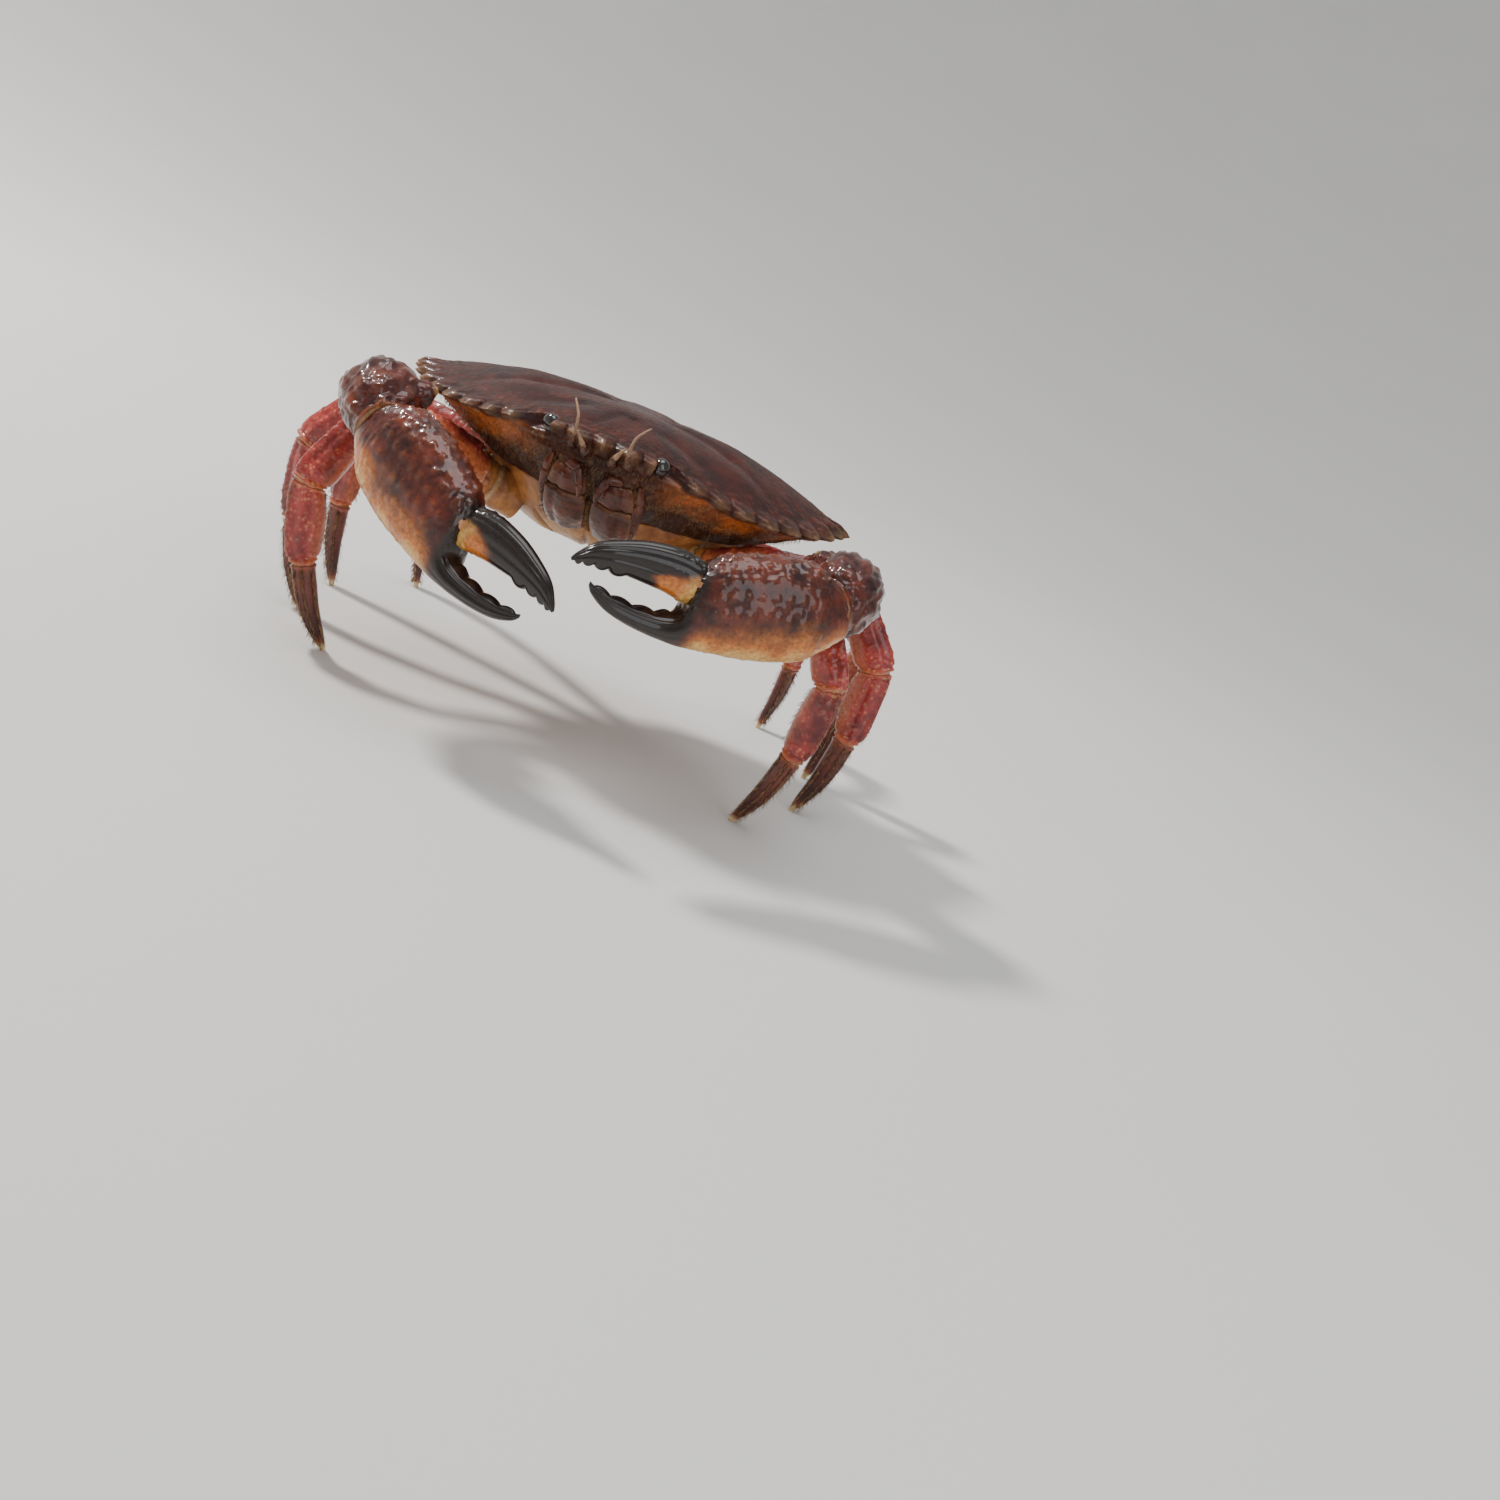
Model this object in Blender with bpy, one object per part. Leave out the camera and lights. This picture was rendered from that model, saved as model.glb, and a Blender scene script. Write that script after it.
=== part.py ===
"""A red rock crab, life size, standing still on its eight walking legs.

The crab faces -Y, its left side is +X and the floor it stands on is z = 0. Both claws are folded in
front of the mouth and a little open. The body is worked out in a frame of its own, in millimetres,
whose origin is midway between the two widest points of the shell, and one empty carries it all.
"""

import math

import bmesh
import bpy
import numpy as np

MM = 0.001
GAP = 0.3
# Edges bent more than this are kept sharp
SHARP_ANGLE = math.radians(50.0)
# Below 1, the sections of hand and finger grow squarer than ellipses
CLAW_SQUARENESS = 0.85
SIDES = {"right": -1, "left": 1}

# Driving sizes of the shell, in millimetres
FRONT_REACH = 51.5
REAR_REACH = 41.0
DOME_HEIGHT = 13.0
# How much of the dome's height is left to its soft rises
RELIEF_ROOM = 1.4
BODY_CENTRE_Y = -6.0
SPLIT_Z = -15.0
STERNUM_Z = -30.0
STERNUM_MIDDLE = (0.0, 2.0, STERNUM_Z - 0.6)
WIDEST_ABOVE_FLOOR = 88.0
# Shares of the way out from the middle at the split and at the sternum's edge: at the sides, then what
# is added at the rear and over the face
SPLIT_SHARE = (0.62, 0.2, 0.1)
STERNUM_SHARE = (0.36, 0.26, -0.04)
# Where the rings of the shell's top, of its flank and of the breastplate lie
TOP_SHARES = (0.2, 0.42, 0.62, 0.8, 0.92, 0.97, 1.0)
FLANK_DEPTHS = (0.12, 0.5, 1.0)
BREAST_DEPTHS = (1.35, 1.75, 2.0)

# The edge of the shell, from the middle of the front to the middle of the rear, as x, y and z
MARGIN = [
    (0.0, -FRONT_REACH, 6.0),
    (9.0, -51.0, 5.8),
    (17.0, -48.0, 5.0),
    (28.0, -45.5, 2.6),
    (40.0, -39.5, 0.0),
    (52.0, -29.5, -1.4),
    (61.5, -17.0, -1.2),
    (67.0, -4.0, -0.2),
    (67.5, 3.5, 0.0),
    (60.0, 12.5, -1.5),
    (49.0, 22.0, -3.5),
    (37.0, 31.5, -5.5),
    (26.0, 38.5, -7.0),
    (13.0, REAR_REACH - 0.3, -7.5),
    (0.0, REAR_REACH, -7.5),
]

# Teeth of the edge: where each run starts and ends along MARGIN, how many teeth, how far they stand out
FRONT_TEETH = {"start": -0.425, "end": 1.70, "count": 2.5, "height": (2.6, 2.4), "tip": 0.5}
SIDE_TEETH = {"start": 2.72, "end": 7.95, "count": 9, "height": (2.2, 3.6), "tip": 0.36}
ORBIT = {"start": 1.70, "end": 2.72, "depth": 2.6}

# Soft rises of the shell's top: centre x, centre y, spread x, spread y, height
RISES = [
    (0.0, -22.0, 13.0, 12.0, 1.1),
    (0.0, 12.0, 11.0, 11.0, 0.7),
    (30.0, 2.0, 18.0, 15.0, 0.9),
    (33.0, -24.0, 10.0, 8.0, 0.8),
    (13.0, -40.0, 6.0, 6.0, 0.6),
]
# Shallow grooves between them, as the two ends of each and its depth
GROOVES = [
    ((10.0, -8.0), (30.0, -14.0), 0.7),
    ((9.0, 0.0), (10.0, 20.0), 0.5),
    ((14.0, -30.0), (24.0, -34.0), 0.6),
]
GROOVE_BREADTH = 3.2

# Walking legs: root x and y, lean of the leg's plane and size, then on each side the azimuth forward of
# sideways and the elevations of carpus, propodus and dactyl, in degrees
WALKING_LEGS = {
    1: {
        "root": (41.5, -10.0),
        "lean": -5,
        "size": 1.0,
        "right": (36, -62, -100, -116),
        "left": (31, -56, -94, -110),
    },
    2: {
        "root": (43.5, 2.0),
        "lean": -2,
        "size": 1.03,
        "right": (8, -56, -94, -108),
        "left": (5, -52, -90, -104),
    },
    3: {
        "root": (40.5, 14.0),
        "lean": 3,
        "size": 1.02,
        "right": (-16, -48, -86, -100),
        "left": (-17, -46, -84, -98),
    },
    4: {
        "root": (34.0, 25.0),
        "lean": 6,
        "size": 0.95,
        "right": (-44, -36, -76, -94),
        "left": (-45, -38, -78, -93),
    },
}
LEG_ROOT_Z = -22.4
LEG_LENGTHS = {"merus": 37.5, "carpus": 20.5, "propodus": 23.5, "dactyl": 28.5}
# Half sizes along each part of a leg, from its root to its end: dorsal, ventral and sideways
LEG_GIRTHS = {
    "merus": [(4.9, 4.7, 3.6), (5.8, 5.5, 3.8), (6.5, 6.0, 3.8), (6.5, 6.0, 4.0), (5.3, 5.0, 3.7)],
    "carpus": [(4.9, 4.6, 3.5), (5.6, 5.3, 3.8), (6.2, 5.8, 4.1), (6.4, 5.9, 4.1), (5.3, 5.0, 3.7)],
    "propodus": [(4.9, 4.6, 3.5), (5.8, 5.4, 3.7), (6.0, 5.6, 3.6), (5.5, 5.1, 3.4), (4.1, 3.8, 3.0)],
    "dactyl": [(3.7, 3.4, 2.7), (3.8, 3.4, 2.5), (3.2, 3.0, 2.2), (2.2, 2.1, 1.6), (0.8, 0.8, 0.7)],
}

# Joints of each claw-bearing limb: root, elbow, the knob of the carpus, wrist, then the direction of the
# hand and of its upper edge, and how broad the wrist block is
CLAW_LIMBS = {
    "right": {
        "root": (-35.5, -23.5, -22.0),
        "elbow": (-55.5, -36.5, -16.0),
        "knob": (-62.8, -46.2, -8.0),
        "wrist": (-56.0, -58.5, -13.0),
        "along": (0.80, -0.39, -0.46),
        "upper": (0.49, 0.0, 0.87),
        "breadth": 1.1,
    },
    "left": {
        "root": (35.5, -23.5, -22.0),
        "elbow": (60.0, -34.5, -15.5),
        "knob": (75.5, -43.5, -9.0),
        "wrist": (73.5, -57.0, -13.5),
        "along": (-0.86, -0.46, -0.22),
        "upper": (-0.26, 0.03, 0.96),
        "breadth": 1.0,
    },
}
# The hand in its own plane: along and up of the upper edge, the same of the lower edge, then the half
# thickness of the outer and the inner face. It runs from the wrist to the tip of the fixed finger.
HAND = [
    (0.0, 8.8, 0.0, -7.8, 7.0, 6.0),
    (3.0, 11.8, 4.0, -11.6, 8.5, 6.8),
    (9.0, 13.9, 10.0, -13.6, 9.6, 7.4),
    (18.0, 14.6, 19.5, -13.9, 10.0, 7.8),
    (27.0, 14.4, 28.5, -13.1, 9.8, 7.6),
    (34.0, 13.0, 35.5, -12.0, 9.0, 7.0),
    (38.5, 9.6, 40.0, -11.2, 8.0, 6.2),
    (40.5, 4.0, 43.5, -10.5, 7.0, 5.5),
    (42.5, -0.8, 47.5, -9.2, 6.0, 4.8),
    (46.5, -2.2, 51.5, -7.8, 5.0, 4.1),
    (53.0, -1.2, 57.5, -5.2, 3.9, 3.3),
    (60.0, 1.2, 62.8, -2.0, 2.8, 2.4),
    (65.4, 4.0, 66.4, 1.8, 1.3, 1.2),
    (66.8, 5.2, 67.3, 4.2, 0.5, 0.5),
]
# The movable finger, in the same terms from its hinge
FINGER = [
    (-1.0, 4.4, -0.5, -4.6, 4.4, 3.9),
    (2.5, 6.6, 3.0, -5.8, 5.0, 4.2),
    (9.0, 7.2, 9.0, -5.0, 4.7, 4.0),
    (17.0, 6.0, 16.5, -4.6, 4.0, 3.4),
    (24.0, 3.7, 23.5, -4.4, 3.2, 2.8),
    (30.0, 0.8, 29.0, -4.6, 2.3, 2.0),
    (33.6, -2.8, 32.8, -5.2, 1.3, 1.2),
    (35.0, -5.0, 34.6, -5.7, 0.5, 0.5),
]
FINGER_HINGE = (37.5, 5.6)
FINGER_OPEN = {"right": 21.0, "left": 17.0}
FINGER_TEETH = {"first": 0.68, "last": 0.92, "count": 4, "height": 1.1, "radius": 2.0}
# Knobs on the wrist block and along the top of the hand: rows of rings, degrees from the top towards the
# outer side, height and radius
WRIST_KNOBS = {"rows": (2, 3, 4, 5), "turns": (-25, 25, 75), "height": 1.0, "radius": 2.0}
# The spine at the inner corner of each wrist block: its ring, direction on the left side and sizes
WRIST_SPINE = {"ring": 4, "way": (-0.85, 0.15, 0.50), "sunk": 4.0, "height": 3.8, "radius": 4.4}
HAND_KNOBS = {"rows": (4, 6, 8, 10), "turns": (-10, 32), "height": 0.8, "radius": 1.7}
# Half sizes of the upper arm and the wrist block: above, below and sideways
CLAW_GIRTHS = {
    "merus": [(5.6, 5.8, 4.8), (7.8, 8.4, 5.8), (9.4, 8.8, 6.5), (8.2, 7.4, 6.2)],
    "carpus": [(6.8, 6.4, 5.9), (9.8, 8.8, 9.2), (11.6, 10.4, 10.8), (11.2, 10.2, 10.3), (8.4, 8.0, 7.4)],
}
HAND_ROWS = 20
FINGER_ROWS = 11
KNOB_ROOT = 1.5
STUB_LENGTH = 13.0
DACTYL_BOW = 1.2
UP = (0.0, 0.0, 1.0)

# Pieces of the face on the left side: path, upper direction, and half sizes above, below and sideways
FACE_PIECES = {
    "eye": {
        "path": [(13.0, -43.0, 2.2), (15.3, -46.4, 3.6), (17.4, -49.3, 5.2)],
        "upper": (0.0, 0.0, 1.0),
        "girth": [(1.4,) * 3, (1.8,) * 3, (2.6,) * 3, (2.5,) * 3, (1.0,) * 3],
        "rows": 7,
        "sides": 10,
        "finish": "eye",
    },
    "antenna": {
        "path": [
            (8.4, -45.0, 0.4),
            (8.2, -52.0, 1.6),
            (7.8, -55.2, 5.0),
            (8.4, -55.4, 10.0),
            (11.0, -53.0, 13.6),
        ],
        "upper": (1.0, 0.0, 0.0),
        "girth": [(1.5,) * 3, (1.2,) * 3, (0.5,) * 3, (0.4,) * 3, (0.25,) * 3],
        "rows": 10,
        "sides": 6,
        "finish": "feeler",
    },
    "antennule": {
        "path": [(3.6, -46.0, -0.5), (3.8, -52.5, 0.8), (5.0, -55.5, 3.4), (6.8, -57.5, 6.4)],
        "upper": (1.0, 0.0, 0.0),
        "girth": [(1.4,) * 3, (1.3,) * 3, (0.7,) * 3, (0.3,) * 3],
        "rows": 7,
        "sides": 6,
        "finish": "feeler",
    },
    "maxilliped": {
        "path": [(6.6, -31.5, -23.5), (7.0, -40.5, -17.0), (7.0, -47.0, -8.0), (6.4, -48.2, -2.6)],
        "upper": (0.0, -1.0, -0.4),
        "girth": [(1.7, 2.2, 5.2), (2.0, 2.4, 6.2), (2.0, 2.2, 6.2), (1.7, 2.0, 5.2), (1.2, 1.4, 3.0)],
        "rows": 7,
        "sides": 12,
        "finish": "mouthpart",
    },
}
# The tail flap: its path, and half sizes outwards, inwards and sideways
ABDOMEN = {
    "path": [
        (0.0, 35.5, -15.5),
        (0.0, 31.0, -24.0),
        (0.0, 21.0, -29.5),
        (0.0, 8.0, -31.3),
        (0.0, -8.0, -31.0),
    ],
    "girth": [(1.6, 2.0, 11.5), (1.8, 2.0, 12.5), (1.8, 2.0, 10.0), (1.7, 2.0, 7.0), (1.0, 1.6, 2.4)],
}

# Colours as red, green, blue and roughness
FINISHES = {
    "shell": (0.16, 0.035, 0.022, 0.3),
    "underside": (0.55, 0.24, 0.10, 0.45),
    "leg": (0.34, 0.045, 0.03, 0.35),
    "leg_tip": (0.14, 0.04, 0.025, 0.35),
    "claw": (0.20, 0.045, 0.025, 0.3),
    "claw_finger": (0.03, 0.018, 0.014, 0.25),
    "mouthpart": (0.30, 0.12, 0.06, 0.4),
    "eye": (0.01, 0.01, 0.012, 0.1),
    "feeler": (0.28, 0.10, 0.06, 0.4),
}


def clear_scene():
    for obj in list(bpy.data.objects):
        bpy.data.objects.remove(obj)


def make_material(name):
    red, green, blue, roughness = FINISHES[name]
    material = bpy.data.materials.new(name)
    material.use_nodes = True
    shader = material.node_tree.nodes["Principled BSDF"]
    shader.inputs["Base Color"].default_value = (red, green, blue, 1.0)
    shader.inputs["Roughness"].default_value = roughness
    return material


def unit(vector):
    vector = np.asarray(vector, float)
    return vector / np.linalg.norm(vector)


def smooth_step(low, high, value):
    share = np.clip((value - low) / (high - low), 0.0, 1.0)
    return share * share * (3.0 - 2.0 * share)


def through(points, places):
    """A smooth curve through points, read at places counted in points from 0."""
    points = np.asarray(points, float)
    places = np.clip(np.atleast_1d(np.asarray(places, float)), 0.0, len(points) - 1.0)
    first = np.minimum(places.astype(int), len(points) - 2)
    share = (places - first)[:, None]
    before = points[np.maximum(first - 1, 0)]
    start = points[first]
    end = points[first + 1]
    after = points[np.minimum(first + 2, len(points) - 1)]
    slope = 0.5 * (end - before)
    slope_after = 0.5 * (after - start)
    return (
        start * (2 * share**3 - 3 * share**2 + 1)
        + slope * (share**3 - 2 * share**2 + share)
        + end * (3 * share**2 - 2 * share**3)
        + slope_after * (share**3 - share**2)
    )


def new_object(name, mesh, material):
    obj = bpy.data.objects.new(name, mesh)
    obj.data.materials.append(material)
    PARTS.objects.link(obj)
    return obj


def loft(name, rings, material):
    """A closed solid through rings of equal count, with a fan over each end."""
    rings = np.asarray(rings, float) * MM
    rows, count, _ = rings.shape
    form = bmesh.new()
    grid = [[form.verts.new(point) for point in ring] for ring in rings]
    for row in range(rows - 1):
        for i in range(count):
            j = (i + 1) % count
            form.faces.new((grid[row][i], grid[row][j], grid[row + 1][j], grid[row + 1][i]))
    for ring in (grid[0], grid[-1]):
        middle = form.verts.new(np.mean([vert.co for vert in ring], axis=0))
        for i in range(count):
            form.faces.new((ring[i], ring[(i + 1) % count], middle))
    bmesh.ops.recalc_face_normals(form, faces=form.faces)
    mesh = bpy.data.meshes.new(name)
    form.to_mesh(mesh)
    form.free()
    mesh.shade_smooth()
    mesh.set_sharp_from_angle(angle=SHARP_ANGLE)
    return new_object(name, mesh, material)


def swollen(rings):
    """A solid through rings, grown by the gap all round."""
    obj = loft("seat", rings, MATERIALS["underside"])
    form = bmesh.new()
    form.from_mesh(obj.data)
    shifts = [vert.normal * (vert.calc_shell_factor() * GAP * MM) for vert in form.verts]
    for vert, shift in zip(form.verts, shifts):
        vert.co += shift
    form.to_mesh(obj.data)
    form.free()
    return obj


def seat(obj, pieces):
    """Cuts a seat into obj for each piece, given as rings, with the gap all round it."""
    combine(obj, [swollen(rings) for rings in pieces], "DIFFERENCE")


def combine(obj, others, operation):
    """One exact Boolean with a collection of the others, applied, keeping the largest closed surface."""
    group = bpy.data.collections.new(obj.name + "_" + operation.lower())
    bpy.context.scene.collection.children.link(group)
    for other in others:
        for holder in list(other.users_collection):
            holder.objects.unlink(other)
        group.objects.link(other)
    modifier = obj.modifiers.new("combine", "BOOLEAN")
    modifier.operation = operation
    modifier.operand_type = "COLLECTION"
    modifier.collection = group
    modifier.solver = "EXACT"
    bpy.context.view_layer.update()
    graph = bpy.context.evaluated_depsgraph_get()
    made = bpy.data.meshes.new_from_object(obj.evaluated_get(graph))
    obj.modifiers.clear()
    obj.data = made
    for other in others:
        bpy.data.objects.remove(other)
    bpy.data.collections.remove(group)
    keep_largest(obj)


def keep_largest(obj):
    form = bmesh.new()
    form.from_mesh(obj.data)
    bmesh.ops.triangulate(form, faces=form.faces)
    bmesh.ops.dissolve_degenerate(form, edges=form.edges, dist=1e-6)
    left = set(form.verts)
    groups = []
    while left:
        stack = [left.pop()]
        group = set(stack)
        while stack:
            for edge in stack.pop().link_edges:
                for vert in edge.verts:
                    if vert in left:
                        left.remove(vert)
                        group.add(vert)
                        stack.append(vert)
        groups.append(group)
    largest = max(groups, key=len)
    bmesh.ops.delete(form, geom=[v for v in form.verts if v not in largest], context="VERTS")
    form.to_mesh(obj.data)
    form.free()
    obj.data.shade_smooth()
    obj.data.set_sharp_from_angle(angle=SHARP_ANGLE)


# The body

def tooth(share, tip):
    """Height of one tooth across its width: a short steep front edge, then a long rounded one."""
    rise = np.clip(share / tip, 0.0, 1.0) ** 0.8
    fall = 1.0 - np.clip((share - tip) / (1.0 - tip), 0.0, 1.0) ** 1.7
    return np.where(share < tip, rise, fall)


def teeth_at(place, run):
    """How far the teeth of a run stand out at a place along the margin."""
    length = (run["end"] - run["start"]) / run["count"]
    counted = (place - run["start"]) / length
    share = counted - np.floor(counted)
    low, high = run["height"]
    along = np.clip(counted / run["count"], 0.0, 1.0)
    inside = (place > run["start"]) & (place < run["end"])
    return np.where(inside, (low + (high - low) * along) * tooth(share, run["tip"]), 0.0)


def margin_places():
    """Places along the half margin: four to a tooth, and evenly elsewhere."""
    places = []
    for run in (FRONT_TEETH, SIDE_TEETH):
        length = (run["end"] - run["start"]) / run["count"]
        tip = run["tip"]
        for number in range(math.ceil(run["count"])):
            for share in (0.0, tip * 0.5, tip, 0.5 + tip * 0.5):
                places.append(run["start"] + (number + share) * length)
    places += list(np.linspace(ORBIT["start"], ORBIT["end"], 6)[1:-1])
    places += list(np.linspace(SIDE_TEETH["end"], len(MARGIN) - 1, 10)[:-1])
    return np.array(sorted(place for place in places if 0.05 < place < len(MARGIN) - 1.05))


def half_margin(places):
    """Base points of the margin and the outward step of its teeth, at places along its left half."""
    base = through(MARGIN, places)
    along = through(MARGIN, places + 0.02) - through(MARGIN, places - 0.02)
    outward = np.stack([along[:, 1], -along[:, 0], np.zeros(len(places))], axis=1)
    outward /= np.linalg.norm(outward, axis=1)[:, None]
    bulge = teeth_at(places, FRONT_TEETH) + teeth_at(places, SIDE_TEETH)
    share = np.clip((places - ORBIT["start"]) / (ORBIT["end"] - ORBIT["start"]), 0.0, 1.0)
    bulge = bulge - ORBIT["depth"] * np.sin(math.pi * share)
    return base, outward * bulge[:, None]


def whole_ring(half, front, rear):
    """A closed ring from its left half, the point at the front and the point at the rear."""
    mirrored = half[::-1] * np.array([-1.0, 1.0, 1.0])
    return np.concatenate([[front], half, [rear], mirrored])


def margin_ring(skip=1):
    """The margin all round, or every so many of its points: base points and the step of its teeth."""
    places = margin_places()[::skip]
    base, step = half_margin(places)
    ends_base, ends_step = half_margin(np.array([0.0, len(MARGIN) - 1.0]))
    ends_step[:, 0] = 0.0
    ends_step[0] = (0.0, -FRONT_TEETH["height"][0], 0.0)
    return (
        whole_ring(base, ends_base[0], ends_base[1]),
        whole_ring(step, ends_step[0], ends_step[1]),
    )


def relief(x, y):
    """Rises and grooves of the shell's top, the same on both sides."""
    side = np.abs(x)
    height = np.zeros_like(x)
    for rise_x, rise_y, spread_x, spread_y, rise in RISES:
        height += rise * np.exp(-(((side - rise_x) / spread_x) ** 2) - ((y - rise_y) / spread_y) ** 2)
    for (x0, y0), (x1, y1), depth in GROOVES:
        length = math.hypot(x1 - x0, y1 - y0)
        along = np.clip(((side - x0) * (x1 - x0) + (y - y0) * (y1 - y0)) / length**2, 0.0, 1.0)
        away = np.hypot(side - x0 - along * (x1 - x0), y - y0 - along * (y1 - y0))
        height -= depth * np.exp(-((away / GROOVE_BREADTH) ** 2))
    return height


def top_ring(share):
    """One ring of the dorsal dome at a share of the way from its middle to the margin."""
    base, step = margin_ring()
    centre = np.array([0.0, BODY_CENTRE_Y, 0.0])
    ring = centre + (base - centre) * share + step * smooth_step(0.92, 1.0, share)
    ring[:, 2] = base[:, 2] + (DOME_HEIGHT - RELIEF_ROOM - base[:, 2]) * (1.0 - share**2.6)
    ring[:, 2] += relief(ring[:, 0], ring[:, 1]) * (1.0 - share**4)
    return ring


def front_share(ring):
    """1 over the face, 0 from the shell's shoulder back."""
    return smooth_step(30.0, 14.0, np.abs(ring[:, 0])) * smooth_step(-20.0, -36.0, ring[:, 1])


def side_ring(depth, skip=1):
    """One ring of the body below the margin: depth 0 is the margin, 1 the split, 2 the sternum's edge."""
    base, step = margin_ring(skip)
    centre = np.array([0.0, BODY_CENTRE_Y, 0.0])
    out = base - centre
    facing = front_share(base)
    rear = smooth_step(8.0, 38.0, base[:, 1])
    split, sternum = (
        plain + more_rear * rear + more_front * facing
        for plain, more_rear, more_front in (SPLIT_SHARE, STERNUM_SHARE)
    )
    inward = np.clip(depth, 0.0, 1.0)
    under = np.clip(depth - 1.0, 0.0, 1.0)
    reach = 1.0 + (split - 1.0) * inward ** (1.0 + 0.9 * facing) + (sternum - split) * under
    ring = centre + out * reach[:, None] + step * (1.0 - smooth_step(0.0, 0.14, depth))
    drop = inward ** (0.85 - 0.1 * facing)
    ring[:, 2] = base[:, 2] + (SPLIT_Z - base[:, 2]) * drop
    ring[:, 2] += (STERNUM_Z - SPLIT_Z) * np.sin(under * math.pi / 2)
    return ring


def build_carapace():
    """The shell: a toothed, domed shield with its flanks turned in underneath."""
    top = [top_ring(share) for share in TOP_SHARES]
    flank = [side_ring(depth) for depth in FLANK_DEPTHS]
    return loft("carapace", top + flank, MATERIALS["shell"])


def build_thorax():
    """The body below the shell: the breastplate, with a stub for the first joint of every limb."""
    upper = side_ring(1.0, skip=2) - np.array([0.0, 0.0, GAP])
    lower = [side_ring(depth, skip=2) for depth in BREAST_DEPTHS]
    inner = side_ring(2.0, skip=2)
    middle = np.array(STERNUM_MIDDLE)
    lower.append(middle + (inner - middle) * 0.5)
    return loft("thorax", [upper] + lower, MATERIALS["underside"])


# Limbs

def rings_along(path, upper, girth, start, end, rows=6, sides=10):
    """Rings round a smooth path. The first and last lie in the planes whose normals are start and end."""
    path = np.asarray(path, float)
    shares = np.linspace(0.0, 1.0, rows)
    centres = through(path, shares * (len(path) - 1))
    sizes = through(girth, shares * (len(girth) - 1))
    ahead = through(path, np.minimum(shares + 0.01, 1.0) * (len(path) - 1))
    behind = through(path, np.maximum(shares - 0.01, 0.0) * (len(path) - 1))
    angles = np.arange(sides) * 2.0 * math.pi / sides
    rings = []
    for share, centre, size, tangent in zip(shares, centres, sizes, ahead - behind):
        tangent = unit(tangent)
        up = unit(np.asarray(upper) - np.dot(upper, tangent) * tangent)
        side = np.cross(tangent, up)
        heights = np.where(np.sin(angles) > 0, size[0], size[1]) * np.sin(angles)
        ring = centre + heights[:, None] * up + (size[2] * np.cos(angles))[:, None] * side
        normal = start if share < 0.5 else end
        slant = ((centre - ring) @ normal) / np.dot(tangent, normal)
        ring = ring + tangent * (slant * abs(2.0 * share - 1.0) ** 2)[:, None]
        rings.append(ring)
    return rings


def between(first, second):
    """The normal of the plane that halves the bend between two directions."""
    return unit(unit(first) + unit(second))


def shortened(start, end, start_normal, end_normal):
    """A straight run drawn back from the planes at its ends by half the gap."""
    step = unit(end - start)
    return [
        start + step * (GAP / 2) / np.dot(step, start_normal),
        end - step * (GAP / 2) / np.dot(step, end_normal),
    ]


def leg_frame(side, number):
    """The joints of a walking leg, then the direction and the dorsal direction of each segment."""
    leg = WALKING_LEGS[number]
    sign = SIDES[side]
    slopes = leg[side][1:]
    azimuth = math.radians(leg[side][0])
    lean = math.radians(leg["lean"])
    outward = np.array([sign * math.cos(azimuth), -math.sin(azimuth), 0.0])
    forward = np.array([-sign * math.sin(azimuth), -math.cos(azimuth), 0.0])
    upward = np.array([0.0, 0.0, math.cos(lean)]) + forward * math.sin(lean)
    lengths = [length * leg["size"] for length in LEG_LENGTHS.values()]
    drop = sum(length * math.sin(math.radians(slope)) for length, slope in zip(lengths[1:], slopes))
    rise = (-WIDEST_ABOVE_FLOOR - LEG_ROOT_Z) / upward[2] - drop
    angles = [math.asin(rise / lengths[0])] + [math.radians(slope) for slope in slopes]
    joints = [np.array([sign * leg["root"][0], leg["root"][1], LEG_ROOT_Z])]
    steps = [outward * math.cos(angle) + upward * math.sin(angle) for angle in angles]
    dorsal = [upward * math.cos(angle) - outward * math.sin(angle) for angle in angles]
    for length, step in zip(lengths, steps):
        joints.append(joints[-1] + step * length)
    return joints, steps, dorsal


def build_walking_leg(side, number):
    """The four free segments of one leg, from the stub on the body to the flat under its tip."""
    joints, steps, dorsal = leg_frame(side, number)
    size = WALKING_LEGS[number]["size"]
    floor = np.array([0.0, 0.0, -1.0])
    planes = [steps[0]] + [between(a, b) for a, b in zip(steps[:-1], steps[1:])] + [floor]
    for i, segment in enumerate(LEG_LENGTHS):
        girth = np.array(LEG_GIRTHS[segment]) * size
        path = shortened(joints[i], joints[i + 1], planes[i], planes[i + 1])
        if segment == "dactyl":
            path[1] = joints[i + 1]
            path.insert(1, (path[0] + path[1]) / 2 + dorsal[i] * DACTYL_BOW)
        rings = rings_along(path, dorsal[i], girth, planes[i], planes[i + 1])
        material = MATERIALS["leg_tip" if segment == "dactyl" else "leg"]
        loft(f"leg{number}_{segment}_{side}", rings, material)


def leg_stub(side, number):
    """The first joint of a leg, which is one with the body."""
    joints, steps, dorsal = leg_frame(side, number)
    size = np.array(LEG_GIRTHS["merus"][0]) * WALKING_LEGS[number]["size"]
    end = joints[0] - steps[0] * GAP / 2
    path = [end - steps[0] * STUB_LENGTH, end]
    girth = [size * 1.1, size * 1.1, size]
    return rings_along(path, dorsal[0], girth, steps[0], steps[0], rows=3)


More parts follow.
